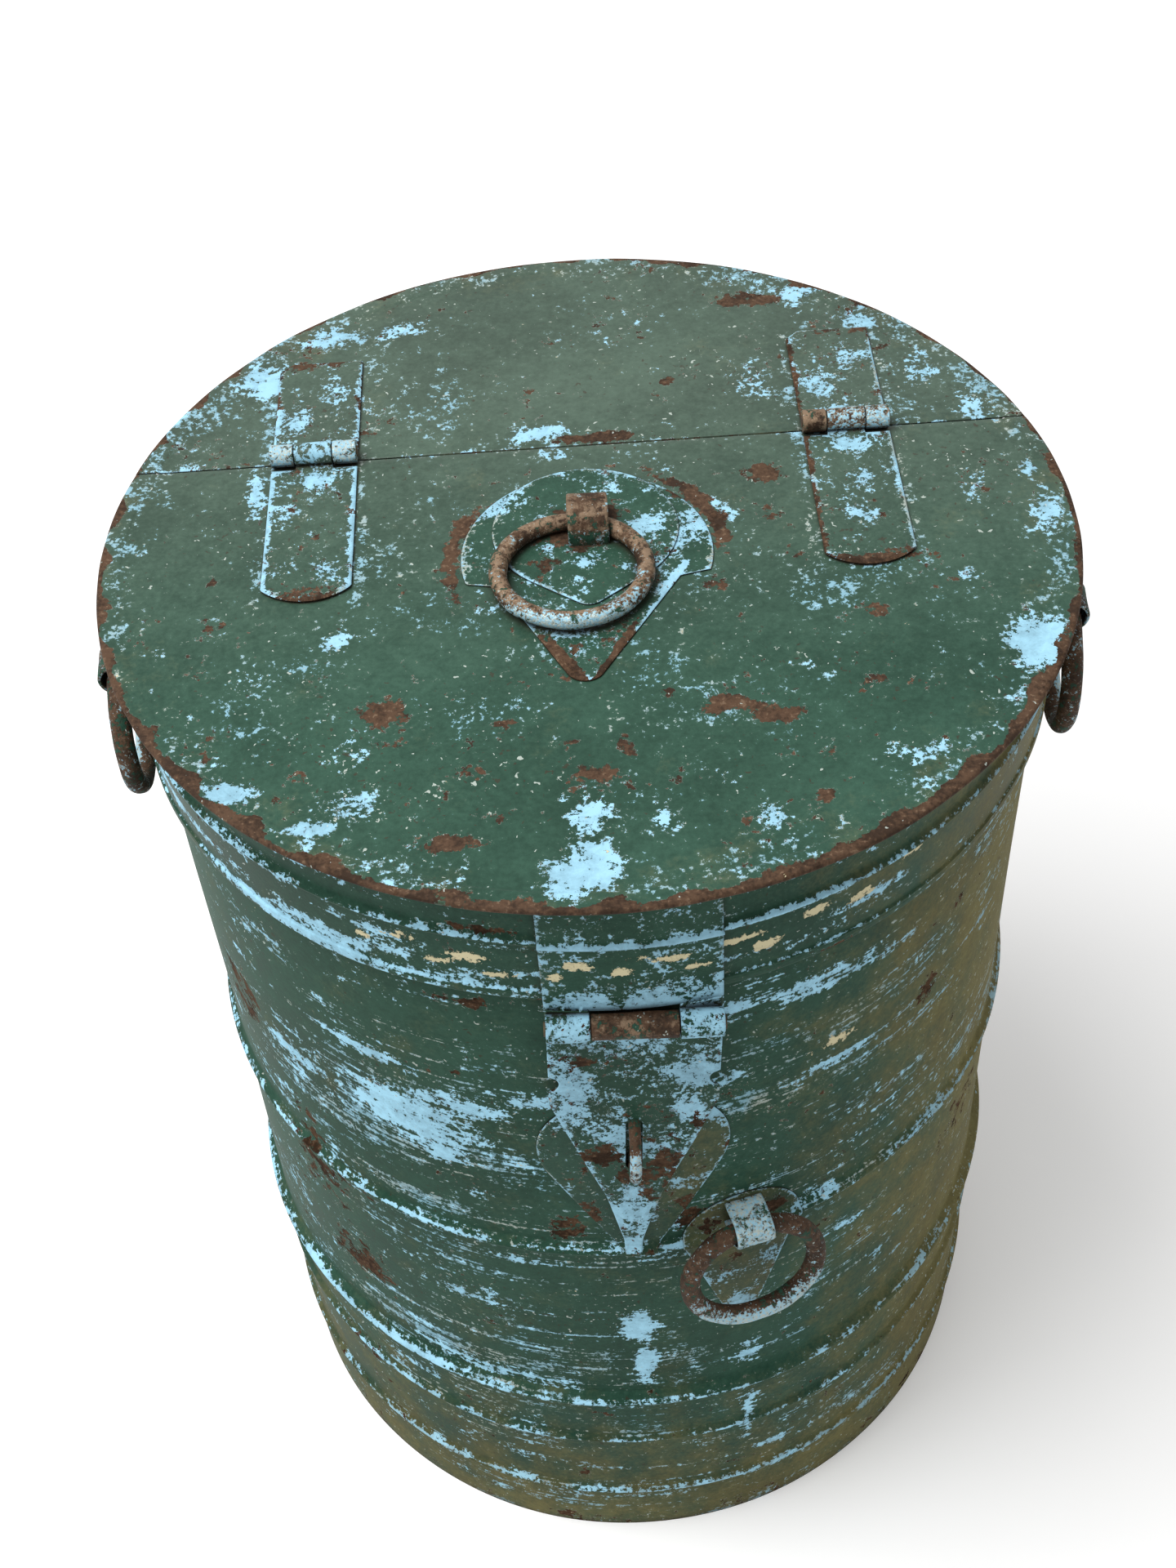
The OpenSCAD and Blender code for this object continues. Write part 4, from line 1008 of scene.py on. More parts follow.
class DRUM_OT_wall(bpy.types.Operator):
    """Make the ribbed wall with its folded top edge"""

    bl_idname = "drum.wall"
    bl_label = "Wall"

    def execute(self, context):
        sheets = context.scene.drum_sheets
        top = SHELL_HIGH[2]
        steps = [np.linspace(0, top - 0.001, 82)]
        steps += [c + w * np.linspace(-0.5, 0.5, 13) for c, _, w in RIBS]
        z = np.unique(np.round(np.concatenate(steps), 5))
        r = WALL_R + rib_out(z)
        # over the top edge and down the folded hem inside
        fold = np.array([[0.0, top], [-0.0012, top], [-0.0024, top - 0.001], [-0.0024, top - 0.008]])
        z = np.concatenate([z, fold[:, 1]])[:, None]
        r = np.concatenate([r, WALL_R + fold[:, 0]])[:, None]
        a = np.linspace(-np.pi, np.pi, sheets.around, endpoint=False)
        grid = polar(r + wall_dent(a, z), a, z)
        surface = Surface()
        surface.add(grid, wrap_cols=True, **wall_wear(a, z))
        surface.build("wall", "drum", wall_paint(), "wall_paint", ("body_shell",), thickness=sheets.sheet)
        return {"FINISHED"}


class DRUM_OT_collars(bpy.types.Operator):
    """Make the lid's collar and the rear collar, with bead and folded lower edge"""

    bl_idname = "drum.collars"
    bl_label = "Collars"

    def band(self, low, high, top):
        """The collar's face carried round from one angle to another; the folded hem
        is turned in and up behind it."""
        z = np.concatenate([
            [SKIRT_LOW[2] + 0.0045], [SKIRT_LOW[2] + 0.0008], np.linspace(SKIRT_LOW[2], HEM_Z, 5),
            HEM_Z + np.array([0.0005, 0.001, 0.003]), np.linspace(HEM_Z + 0.006, BEAD_Z - 0.006, 8),
            BEAD_Z + 0.0045 * np.linspace(-1, 1, 17), np.linspace(BEAD_Z + 0.0065, TOP_Z - 0.0042, 9)])
        r = collar_face(z)
        r[0] = r[1] = COLLAR_R + 0.0001
        r[2] = COLLAR_R + 0.0006
        a = np.linspace(low, high, 200)
        z = np.broadcast_to(z[:, None], (len(r), 200)).copy()
        z[-1] = top(a)
        r = r[:, None]
        surface = Surface()
        surface.add(polar(r + collar_dent(a, z), a, z), **collar_wear((a + np.pi) % (2 * np.pi) - np.pi, z))
        return surface

    def execute(self, context):
        sheets = context.scene.drum_sheets
        gap = math.radians(0.4)
        flange = TOP_Z - 0.0024
        lid = self.band(-COLLAR_SPLIT, COLLAR_SPLIT, lambda a: flange + 0 * a)
        lid.build("lid_skirt", "lid", collar_paint(), "wall_paint", ("lid_collar",),
                  thickness=sheets.sheet, bevel=0.0003)
        # the rear collar ends under the lid's rim, and behind the slit it meets the fixed top
        slit = math.radians(107.5)
        rear = self.band(COLLAR_SPLIT + gap, 2 * np.pi - COLLAR_SPLIT - gap, lambda a: np.where(
            (a > slit) & (a < 2 * np.pi - slit), flange, LID_LOW[2] - 0.0004))
        rear.build("rear_skirt", "drum", collar_paint(), "wall_paint", ("rear_collar",),
                   thickness=sheets.sheet, bevel=0.0003)
        return {"FINISHED"}


class DRUM_OT_hinges(bpy.types.Operator):
    """Make the strap hinges' leaves and their rolled knuckles"""

    bl_idname = "drum.hinges"
    bl_label = "Strap hinges"

    def front_leaf(self, name, x):
        """The lid's leaf: straight sides, a bowed nose, and a tab that runs up to the
        middle knuckle."""
        leaf = bpy.context.scene.drum_sheets.leaf
        low = corners(f"hinge_{name}_lid_leaf")[0]
        length = SEAM_Y - low[1]
        w, k = HINGE_W, HINGE_K
        end = 1.35 * w
        turn = np.linspace(math.asin(w / end), -math.asin(w / end), 15)
        nose = np.stack([end * np.sin(turn), -length + end - end * np.cos(turn)], -1)
        outline = np.concatenate([
            [[-w, -HINGE_CLEAR], [-w, nose[-1, 1]]], nose[::-1], [[w, nose[0, 1]], [w, -HINGE_CLEAR]],
            [[k, -HINGE_CLEAR], [k, -0.001], [-k, -0.001], [-k, -HINGE_CLEAR]]]) + (x, SEAM_Y)

        def wear(u, v):
            side = np.clip(1 - (w - abs(u - x)) / 0.004, 0, 1)
            tip = np.clip((low[1] + 0.012 - v) / 0.01, 0, 1)
            near = np.clip((v - SEAM_Y + 0.03) / 0.02, 0, 1)
            if name == "left":
                blue = np.maximum(0.35 * near, 0.95 * side) + spot(u - x, v, (
                    (-0.012, 0.03, 0.01, 0.01, 0.5), (0.01, -0.02, 0.01, 0.012, 0.5),
                    (0.0, 0.055, 0.015, 0.008, 0.6)))
                rust = 0.5 * tip
            else:
                blue = 0.2 * near + spot(u - x, v, (
                    (0.0, 0.0, 0.012, 0.01, 0.6), (0.004, 0.03, 0.01, 0.01, 0.5),
                    (0.0, 0.056, 0.012, 0.006, 0.6)))
                rust = np.maximum(0.75 * side * (abs(u - x) > 0.018) * (u < x), 0.8 * tip)
            return {"blue": blue, "rust": rust, "scuff": 0.35 + 0.9 * side + 0.3 * tip}

        surface = patch(outline, (x, SEAM_Y - 0.05), on_top, 22, leaf, wear, soft=0.0006)
        surface.build(f"hinge_{name}_front_leaf", "lid", leaf_paint(), "lid_paint",
                      (f"hinge_{name}_lid_leaf",), thickness=leaf - 0.0001, bevel=0.0004)

    def back_leaf(self, name, x):
        """The fixed top's leaf: a rectangle with one corner cut, and two tabs that run
        up to the outer knuckles."""
        leaf = bpy.context.scene.drum_sheets.leaf
        w = HINGE_W
        outline = np.array([
            [-w, HINGE_CLEAR], [w, HINGE_CLEAR], [w, 0.088], [-w + 0.007, 0.088],
            [-w, 0.081]]) + (x, SEAM_Y)

        def wear(u, v):
            side = np.clip(1 - (w - abs(u - x)) / 0.004, 0, 1)
            far = np.clip((v - SEAM_Y - 0.076) / 0.01, 0, 1)
            blue = spot(u - x, v, (
                (-0.012, 0.11, 0.012, 0.02, 0.6), (0.008, 0.13, 0.01, 0.02, 0.4),
                (0.0, 0.085, 0.02, 0.006, 0.5)))
            if name == "left":
                blue, rust = blue + 0.6 * side, 0.3 * far + 0.3 * side
            else:
                blue, rust = blue + 0.2 * side, 0.3 * far + 0.75 * side * (u < x)
            return {"blue": blue, "rust": rust, "scuff": 0.3 + 0.8 * side}

        surface = patch(outline, (x, SEAM_Y + 0.045), on_top, 20, leaf, wear, soft=0.0006)
        for x0, x1 in beside(w, HINGE_K):
            tab_x, tab_y = np.meshgrid(
                np.linspace(x0, x1, 8) + x, np.linspace(0.001, HINGE_CLEAR, 4) + SEAM_Y)
            surface.add(on_top(tab_x, tab_y, leaf - 0.0005), blue=0.3, scuff=0.6)
        surface.build(f"hinge_{name}_back_leaf", "drum", rear_leaf_paint(), "top_paint",
                      (f"hinge_{name}_top_leaf",), thickness=leaf - 0.0001, bevel=0.0004)

    def knuckles(self, name, x):
        """The middle knuckle of the lid's leaf, and the two outer ones of the top's."""
        pale = once("knuckle pale over iron", rubbed_rod, seed=3.0, blue_at=0.04)
        brown = once("knuckle rubbed brown", rubbed_rod, seed=5.0, blue_at=0.12, bare_at=0.0, tint=0.95)
        right = name == "right"
        r = (HINGE_Z - FLAT_Z) - 0.0003
        centre = np.array([x, SEAM_Y, HINGE_Z])
        middle = Surface()
        knuckle(middle, -HINGE_K, HINGE_K, r, centre, edge=0.6, blue=0.35, scuff=0.7)
        middle.build(f"hinge_{name}_middle_knuckle", "lid", pale if right else leaf_paint(), "worn_clip")
        ends = Surface()
        for x0, x1 in beside(HINGE_W, HINGE_K):
            knuckle(ends, x0, x1, r, centre, blue=0.0 if right and x0 < 0 else 0.75)
        ends.build(f"hinge_{name}_end_knuckles", "drum", brown if right else pale, "worn_clip")

    def execute(self, context):
        for name, x in (("left", -HINGE_X), ("right", HINGE_X)):
            self.front_leaf(name, x)
            self.back_leaf(name, x)
            self.knuckles(name, x)
        return {"FINISHED"}


def clip_path(r, thickness, legs, tail):
    """Side view of a folded clip, from one clinched tail through its leg, over its
    round fold and back: a half circle of the mid radius on two straight legs, whose
    corners are rounded by averaging."""
    mid = r + thickness / 2
    turn = np.linspace(np.pi, 0, 25)
    leg = np.linspace(-legs, 0, 16, endpoint=False)
    out = np.linspace(-mid - tail, -mid, 7, endpoint=False)
    path = np.concatenate([
        np.stack([out, np.full(7, -legs)], -1), np.stack([np.full(16, -mid), leg], -1),
        np.stack([mid * np.cos(turn), mid * np.sin(turn)], -1),
        np.stack([np.full(16, mid), leg[::-1]], -1), np.stack([-out[::-1], np.full(7, -legs)], -1)])
    path[1:-1] = (path[:-2] + 2 * path[1:-1] + path[2:]) / 4
    return path


def clip_piece(name, body, node, place, across, r, width, legs, material, wear):
    """A clip: a flat bar carried along its folded path, a little uneven."""
    thickness, tail = 0.002, 0.009
    path = clip_path(r, thickness, legs, tail)
    spine = place(path)
    section = bar(width, thickness, 0.0005)
    grid = carry(spine, np.array(across), section)
    grid += 0.00015 * waves(grid, 0.012, 61)[..., None]
    rise = np.broadcast_to(path[:, 1][:, None], grid.shape[:2])
    side = np.clip((abs(section[:, 0]) - width / 2 + 0.002) / 0.002, 0, 1)
    surface = Surface()
    capped(surface, grid, **wear(rise, np.broadcast_to(side, grid.shape[:2])))
    return surface.build(name, body, material, "worn_clip", (node,))


def ring_piece(name, body, node, centre, across, down, r, rod, material, wear, seed, lap):
    """A ring bent from rod: a circle whose rod is a little uneven and flattened where
    it turns in its clip, with a step where its two ends meet, at the angle lap."""
    turn = np.linspace(0, 2 * np.pi, 144, endpoint=False)
    across, down = np.array(across), np.array(down)
    out = np.cross(across, down)
    p = np.stack([np.cos(turn), np.sin(turn), 0 * turn], -1)
    bent = r * (1 + 0.006 * waves(p * r, 0.08, seed))
    radial = np.cos(turn)[:, None] * -down + np.sin(turn)[:, None] * across
    path = centre + bent[:, None] * radial
    b = np.linspace(0, 2 * np.pi, 36, endpoint=False)
    step = (turn - lap)[:, None]
    join = np.where(step > 0, 0.03 * np.exp(-abs(step) / 0.25), -0.03 * np.exp(-abs(step) / 0.12))
    seat = -0.06 * np.exp(-(np.minimum(turn, 2 * np.pi - turn) / 0.3) ** 2)[:, None]
    thick = rod * (1 + join + seat)
    normal = np.cos(b)[None, :, None] * radial[:, None] + np.sin(b)[None, :, None] * out
    grid = path[:, None] + thick[..., None] * normal
    grid += normal * (rod * 0.035 * waves(grid, 0.016, seed + 1))[..., None]
    surface = Surface()
    surface.add(grid, wrap_rows=True, wrap_cols=True, flip=True, **wear(turn[:, None], normal))
    return surface.build(name, body, material, "worn_rod", (node,))


class DRUM_OT_lid_ring(bpy.types.Operator):
    """Make the two plates, the clip and the ring on the lid"""

    bl_idname = "drum.lid_ring"
    bl_label = "Lid ring"

    def outer_plate(self, material):
        """The outer plate: a round head on straight shoulders that run to a tip."""
        plate = bpy.context.scene.drum_sheets.plate
        low, high = corners("lid_ring_plate")
        r = high[0]
        y = high[1] - r
        shoulder = np.array([0.72 * r, y - 0.021])
        back = np.linspace(-0.28, math.pi + 0.28, 70)
        tip = np.radians(np.linspace(205, 335, 14))
        outline = np.concatenate([
            np.stack([r * np.cos(back), y + r * np.sin(back)], -1), [shoulder * (-1, 1)],
            np.stack([-0.004 + 0.01 * np.cos(tip), low[1] + 0.01 + 0.01 * np.sin(tip)], -1),
            [shoulder]])

        def near_side(u, v):
            """Distance to the straight sides that lead to the plate's tip."""
            side = np.array([0.006, low[1]]) - shoulder
            side = side / np.hypot(*side)
            return abs((abs(u + 0.002) - shoulder[0]) * side[1] - (v - shoulder[1]) * side[0])

        def wear(u, v):
            right = np.clip((u - 0.008) / 0.03, 0, 1)
            point = np.clip((-0.06 - v) / 0.03, 0, 1)
            blue = spot(u, v, (
                (0.045, 0.0, 0.018, 0.024, 0.75), (-0.045, 0.02, 0.014, 0.02, 0.5),
                (0.0, 0.04, 0.03, 0.008, 0.4), (-0.01, -0.075, 0.012, 0.006, 0.6)))
            rust = np.maximum(0.75 * point * (near_side(u, v) < 0.005), spot(u, v, (
                (0.0, -0.066, 0.016, 0.004, 0.8), (0.05, 0.03, 0.008, 0.01, 0.5))))
            pale = right * (v < y - 0.01) * np.exp(-(near_side(u, v) / 0.0022) ** 2)
            return {"blue": blue + 0.9 * pale, "rust": rust * (1 - pale), "scuff": 0.55 + 0.6 * pale}

        surface = patch(outline, (0.0, y - 0.012), on_top, 24, plate, wear, soft=0.0004)
        surface.build("lid_outer_plate", "lid", material, "lid_paint", ("lid_ring_plate",),
                      thickness=plate - 0.0001)

    def inner_plate(self, material):
        """The drop-shaped plate on top of it, under the clip."""
        plate = bpy.context.scene.drum_sheets.plate
        high = corners("lid_ring_inner_plate")[1]
        r = high[0]
        y = high[1] - r

        def wear(u, v):
            seat = np.exp(-((np.hypot(u - 0.001, v - 0.002) - 0.014) / 0.008) ** 2)
            blue = spot(u, v, (
                (0.03, 0.0, 0.014, 0.014, 0.6), (0.0, -0.022, 0.01, 0.008, 0.75),
                (-0.022, -0.012, 0.008, 0.006, 0.6), (0.024, -0.03, 0.012, 0.006, 0.6)))
            rust = 0.55 * seat + spot(u, v, ((-0.02, -0.026, 0.01, 0.006, 0.6),))
            return {"blue": blue, "rust": rust, "scuff": 0.4 + 0.4 * seat}

        surface = patch(drop(r, r * 1.02, 0.009, 0.0, y), (0.0, y - 0.01), on_top, 22,
                        2 * plate + 0.0001, wear, soft=0.0004)
        surface.build("lid_inner_plate", "lid", material, "lid_paint", ("lid_ring_inner_plate",),
                      thickness=plate - 0.0001)

    def clip(self, ring_z):
        """The clip that holds the ring, its fold about the ring's own rod."""
        brass = once("clip brass brown", rubbed_rod, seed=7.0, blue_at=0.12, bare_at=0.06, tint=0.8)
        low, high = corners("lid_ring_clip")
        pivot = np.array([(low[0] + high[0]) / 2, (low[1] + high[1]) / 2, ring_z])

        def place(path):
            return pivot + np.stack([0 * path[:, 0], path[:, 0], path[:, 1]], -1)

        def wear(rise, side):
            return {"edge": 0.3 + 0.7 * side, "blue": 0.35 * side + 0.3 * (rise < 0.004),
                    "grime": np.clip(0.8 - rise / 0.01, 0, 0.6)}

        clip_piece("lid_clip", "lid", "lid_ring_clip", place, (1.0, 0.0, 0.0), 0.012,
                   high[0] - low[0], pivot[2] - low[2] - 0.001, brass, wear)

    def execute(self, context):
        plate_paint = once("ring plate green over blue", worn_paint,
                           tuple(context.scene.drum_paint.green), seed=14.0, blue_at=0.16,
                           rust_at=0.2, chip=120.0, patches=32.0, gloss=0.15)
        self.outer_plate(plate_paint)
        self.inner_plate(plate_paint)
        low, high = corners("lid_ring")
        self.clip((low[2] + high[2]) / 2)
        rod = (high[2] - low[2]) / 2

        def wear(turn, normal):
            front = np.clip(-np.cos(turn), 0, 1)
            outer = np.clip(-normal[..., 1], 0, 1)
            return {"blue": 0.15 + front * (0.25 + 0.6 * outer), "edge": 0.4 * normal[..., 2] + 0.2,
                    "grime": 0.5 * outer * front}

        rubbed = once("lid ring rubbed", rubbed_rod, seed=9.0, blue_at=0.1, bare_at=0.08, tint=1.05)
        ring_piece("lid_ring_rod", "lid_handle", "lid_ring", (low + high) / 2, (1, 0, 0), (0, -1, 0),
                   (high[1] - low[1]) / 2 - rod, rod, rubbed, wear, 71, lap=3.9)
        return {"FINISHED"}


class DRUM_OT_wall_rings(bpy.types.Operator):
    """Make the left, right and front rings with their plates and clips"""

    bl_idname = "drum.wall_rings"
    bl_label = "Wall rings"

    # where each ring hangs round the drum and how far it leans out, in degrees
    PLACES = (("left", -86, 0.0), ("right", 86, 0.0), ("front", 15, 8))
    RING_R, ROD_R = 0.0365, 0.0055

    def clip_and_ring(self, name, turn, lean):
        """A clip through the wall, its fold standing out, and the ring that hangs in it."""
        low, high = corners(f"ring_{name}_clip")
        z = (low[2] + high[2]) / 2
        out = np.array([math.sin(turn), -math.cos(turn), 0.0])
        across = np.array([math.cos(turn), math.sin(turn), 0.0])
        front = name == "front"
        seat = WALL_R + 0.0012 if front else COLLAR_R + 0.0012
        stand = 0.011
        pivot = out * (seat + stand) + (0, 0, z)
        inside = WALL_R - 0.0012 - 0.00035
        legs = seat + stand - inside + 0.001

        def place(path):
            return pivot + path[:, 1][:, None] * out + path[:, 0][:, None] * np.array([0, 0, 1.0])

        def clip_wear(rise, side):
            return {"edge": 0.7 * side, "blue": (0.5 if front else 0.3) + 0.2 * side, "grime": 0.3}

        if front:
            clip_look = once("clip pale over iron", rubbed_rod, seed=11.0, blue_at=0.02, bare_at=0.1)
        else:
            clip_look = once("side clip olive", rubbed_rod, seed=13.0, blue_at=0.09, bare_at=0.14)
        clip_piece(f"{name}_clip", "drum", f"ring_{name}_clip", place, -across, 0.0078, 0.0208,
                   legs, clip_look, clip_wear)
        down = np.array([0, 0, -1.0]) * math.cos(lean) + out * math.sin(lean)

        def ring_wear(t, normal):
            low_part = np.clip(-np.cos(t), 0, 1)
            outward = np.clip(normal @ out, 0, 1)
            return {"blue": low_part * outward * 0.95 + (0.1 if front else 0.2), "edge": 0.3 * outward,
                    "grime": 0.1 * (1 - low_part)}

        rod_look = once("ring rod olive", rubbed_rod, seed=15.0, blue_at=0.085, bare_at=0.2, tint=0.55)
        ring_piece(f"{name}_ring_rod", f"{name}_handle", f"ring_{name}", pivot + self.RING_R * down,
                   across, down, self.RING_R, self.ROD_R, rod_look, ring_wear, 80 + len(name), lap=2.4)
        return z

    def front_plate(self, turn, z):
        """The drop-shaped plate on the wall behind the front ring."""
        def wear(u, v):
            blue = spot(u, v, (
                (0.0, z - 0.1, 0.012, 0.012, 0.9), (-0.01, z - 0.03, 0.01, 0.01, 0.5),
                (0.014, z - 0.05, 0.01, 0.012, 0.5)))
            rust = spot(u, v, (
                (0.016, z - 0.008, 0.012, 0.008, 0.8), (-0.018, z - 0.012, 0.008, 0.012, 0.6)))
            return {"blue": blue, "rust": rust, "scuff": 0.15, "grime": 0.4}

        return patch(drop(0.034, 0.076, 0.012, 0.0, z - 0.02), (0.0, z - 0.045), on_wall(turn), 22,
                     PLATE_OUT, wear, soft=0.0004)

    def side_plate(self, name, turn):
        """The square plate on the collar behind a side ring, bent over its bead."""
        low, high = corners(f"ring_{name}_plate")
        w = 0.026
        outline = np.array([[-w, low[2]], [w, low[2]], [w, high[2]], [-w, high[2]]])

        def wear(u, v):
            return {"blue": 0.25, "rust": 0.25, "scuff": 0.4, "grime": 0.5}

        return patch(outline, (0.0, (low[2] + high[2]) / 2 - 0.004), on_collar(turn), 26,
                     PLATE_OUT, wear, soft=0.0003)

    def execute(self, context):
        for name, degrees, lean in self.PLACES:
            turn = math.radians(degrees)
            z = self.clip_and_ring(name, turn, math.radians(lean))
            surface = self.front_plate(turn, z) if name == "front" else self.side_plate(name, turn)
            surface.build(f"{name}_ring_plate", "drum", wall_plate_paint(), "wall_paint",
                          (f"ring_{name}_plate",), thickness=context.scene.drum_sheets.plate,
                          bevel=0.0002)
        return {"FINISHED"}


class DRUM_OT_hasp(bpy.types.Operator):
    """Make the hasp's plate, strap and knuckles, the staple and the plate behind it"""

    bl_idname = "drum.hasp"
    bl_label = "Hasp and staple"

    def top_plate(self):
        """The plate over the collar's face, bent over its bead, with two tabs that lead
        down into the outer knuckles."""
        paint = bpy.context.scene.drum_paint
        w = HASP_W
        turn = math.asin(HASP_PIVOT[0] / COLLAR_R)
        face = COLLAR_R + 0.0012 + 0.00006 + 0.002
        foot = HASP_PIVOT[2] + 0.0078
        z = np.concatenate([
            [foot], np.linspace(SKIRT_LOW[2] - 0.0004, BEAD_Z - 0.006, 14),
            BEAD_Z + 0.005 * np.linspace(-1, 1, 15),
            np.linspace(BEAD_Z + 0.0065, TOP_Z - 0.0052, 7)])[:, None]
        u = np.linspace(-1, 1, 60) * w
        a = turn + u / COLLAR_R
        r = np.maximum(face, collar_face(z) + 0.00206) + collar_dent(a, z)
        side = np.clip(1 - (w - abs(u)) / 0.003, 0, 1)
        base = np.clip((HASP_PIVOT[2] + 0.03 - z) / 0.02, 0, 1)
        bead = np.exp(-((z - BEAD_Z) / 0.002) ** 2)
        cream = spot(u, z, (
            (-0.024, BEAD_Z - 0.014, 0.01, 0.004, 0.95), (0.018, BEAD_Z - 0.012, 0.012, 0.0034, 0.95),
            (-0.004, BEAD_Z - 0.019, 0.008, 0.004, 0.9), (0.03, BEAD_Z - 0.02, 0.009, 0.003, 0.9),
            (0.002, BEAD_Z - 0.01, 0.01, 0.0024, 0.85), (-0.034, BEAD_Z - 0.022, 0.006, 0.004, 0.85)))
        surface = Surface()
        surface.add(polar(r, a, z), blue=0.75 * base + 0.7 * bead + 0.2 + 0 * u, rust=0.0, cream=cream,
                    edge=side + 0.3 * bead, scuff=0.3 + 0.4 * side)
        tab_z = np.linspace(HASP_PIVOT[2] - 0.002, foot, 8)[:, None]
        for x0, x1 in beside(w, HASP_K):
            u = np.linspace(x0, x1, 18)
            a = turn + u / COLLAR_R
            r = face + collar_dent(a, 0 * a + foot) + 0 * tab_z
            surface.add(polar(r, a, tab_z), blue=0.5, edge=0.2, scuff=0.5)
        look = once("hasp plate green over blue", worn_paint, tuple(paint.green), seed=18.0, streak=0.4,
                    blue_at=0.22, rust_at=0.27, chip=130.0, gain=0.4, gloss=0.05)
        surface.build("hasp_top_plate", "lid", look, "hasp_paint", ("hasp_plate",), thickness=0.002)

    def knuckles(self):
        """The plate's two outer knuckles and the strap's middle one, round the pin."""
        brown = once("hasp knuckle brown", rubbed_rod, seed=5.0, blue_at=0.1, bare_at=0.12, tint=0.85)
        ends = Surface()
        for x0, x1 in beside(HASP_W, HASP_K):
            knuckle(ends, x0, x1, 0.007, HASP_PIVOT, HASP_TILT, blue=0.35, edge=0.5, scuff=0.9)
        ends.build("hasp_end_knuckles", "lid", hasp_paint(), "worn_clip")
        middle = Surface()
        knuckle(middle, -HASP_K, HASP_K, 0.0063, HASP_PIVOT, HASP_TILT, edge=0.3)
        middle.build("hasp_middle_knuckle", "hasp", brown, "worn_clip")

    def strap(self):
        """The strap: two halves whose width follows the height, through a few knots with
        a round notch at the waist, parted by the slot for the staple. Low ridges run
        along both edges, and the tip is turned out."""
        w = HASP_W
        slot_top, slot_low, slot_r = -0.0837, -0.1276, 0.0043
        waist, notch_r = -0.051, 0.006
        knots = np.array([
            [-0.008, w], [-0.068, w], [-0.078, w - 0.003], [-0.11, w - 0.013], [-0.152, w - 0.027],
            [-0.197, 0.005], [-0.2068, 0.0045]])
        ease = slot_r * (1 - np.cos(np.linspace(0, np.pi / 2, 8)))
        z = np.unique(np.concatenate([
            np.linspace(-0.008, -0.2068, 110), np.linspace(-0.0455, -0.0565, 19),
            slot_top - ease, slot_low + ease]))[::-1]
        width = np.interp(-z, -knots[:, 0], knots[:, 1])
        notch = np.sqrt(np.clip(notch_r ** 2 - (z - waist) ** 2, 0, None)) - 0.001
        width = width - np.clip(notch, 0, None)
        into = np.clip(np.minimum(slot_top - z, z - slot_low), 0, slot_r)
        hole = np.sqrt(np.clip(slot_r ** 2 - (slot_r - into) ** 2, 0, None))
        share = 1 - (1 - np.linspace(0, 1, 22)) ** 1.3
        surface = Surface()
        for sign in (1, -1):
            u = sign * (hole[:, None] + share * (width - hole)[:, None])
            v = np.broadcast_to(z[:, None], u.shape)
            edge_far = width[:, None] - abs(u)
            rim = np.clip(1 - edge_far / 0.004, 0, 1)
            ridge = 0.0005 * np.exp(-((edge_far - 0.005) / 0.0016) ** 2)
            turned = 0.003 * np.clip((-0.198 - v) / 0.009, 0, 1) ** 2
            lip = 0.0005 * np.clip(1 - edge_far / 0.0012, 0, 1) ** 2
            h = ridge * (v > -0.19) + turned - lip + 0.0002 * waves(stack(u, v, 0.0), 0.03, 91)
            low_half = np.clip((-0.1 - v) / 0.06, 0, 1)
            blue = spot(u, v, (
                (-0.01, -0.02, 0.034, 0.016, 0.4), (0.028, -0.045, 0.016, 0.02, 0.8),
                (-0.03, -0.055, 0.012, 0.03, 0.75), (0.0, -0.105, 0.022, 0.022, 0.45),
                (0.0, -0.165, 0.012, 0.03, 0.6), (0.026, -0.075, 0.012, 0.014, 0.6),
                (0.0, -0.2, 0.008, 0.008, 1.0)))
            rust = spot(u, v, (
                (-0.016, -0.115, 0.01, 0.012, 0.7), (0.016, -0.12, 0.01, 0.012, 0.7),
                (0.004, -0.15, 0.01, 0.012, 0.6), (0.0, -0.135, 0.012, 0.008, 0.7),
                (-0.03, -0.03, 0.01, 0.008, 0.4)))
            surface.add(stack(u, HASP_SEAT - h, v) @ HASP_TILT.T + HASP_PIVOT, flip=sign > 0,
                        blue=blue + 0.35 * rim * (u < 0), rust=rust, edge=rim,
                        scuff=0.1 + 0.8 * rim + 0.2 * low_half)
        thickness = bpy.context.scene.drum_sheets.strap - 0.0001
        surface.build("hasp_strap_sheet", "hasp", hasp_paint(), "hasp_paint", ("hasp_strap",),
                      thickness=thickness, bevel=0.0003)
        # the part that rises from the strap and is rolled round the pin
        u = np.linspace(-HASP_K, HASP_K, 24)
        v = np.linspace(-0.0082, -0.0015, 6)[:, None]
        neck = Surface()
        neck.add(stack(u, HASP_SEAT, v) @ HASP_TILT.T + HASP_PIVOT, blue=0.3, scuff=0.6)
        neck.build("hasp_strap_neck", "hasp", hasp_paint(), "hasp_paint", thickness=thickness)

    def staple_plate(self, sx, sz):
        """The drop-shaped plate on the wall behind the staple."""
        def wear(u, v):
            blue = spot(u, v, (
                (sx + 0.042, sz + 0.01, 0.01, 0.014, 0.5), (sx, sz - 0.11, 0.008, 0.01, 0.5)))
            rust = spot(u, v, (
                (sx - 0.024, sz - 0.075, 0.01, 0.018, 0.7), (sx + 0.03, sz - 0.08, 0.01, 0.02, 0.6)))
            return {"blue": blue, "rust": rust, "scuff": 0.1,
                    "grime": 0.4 * np.clip((u - sx) / 0.03, 0, 1)}

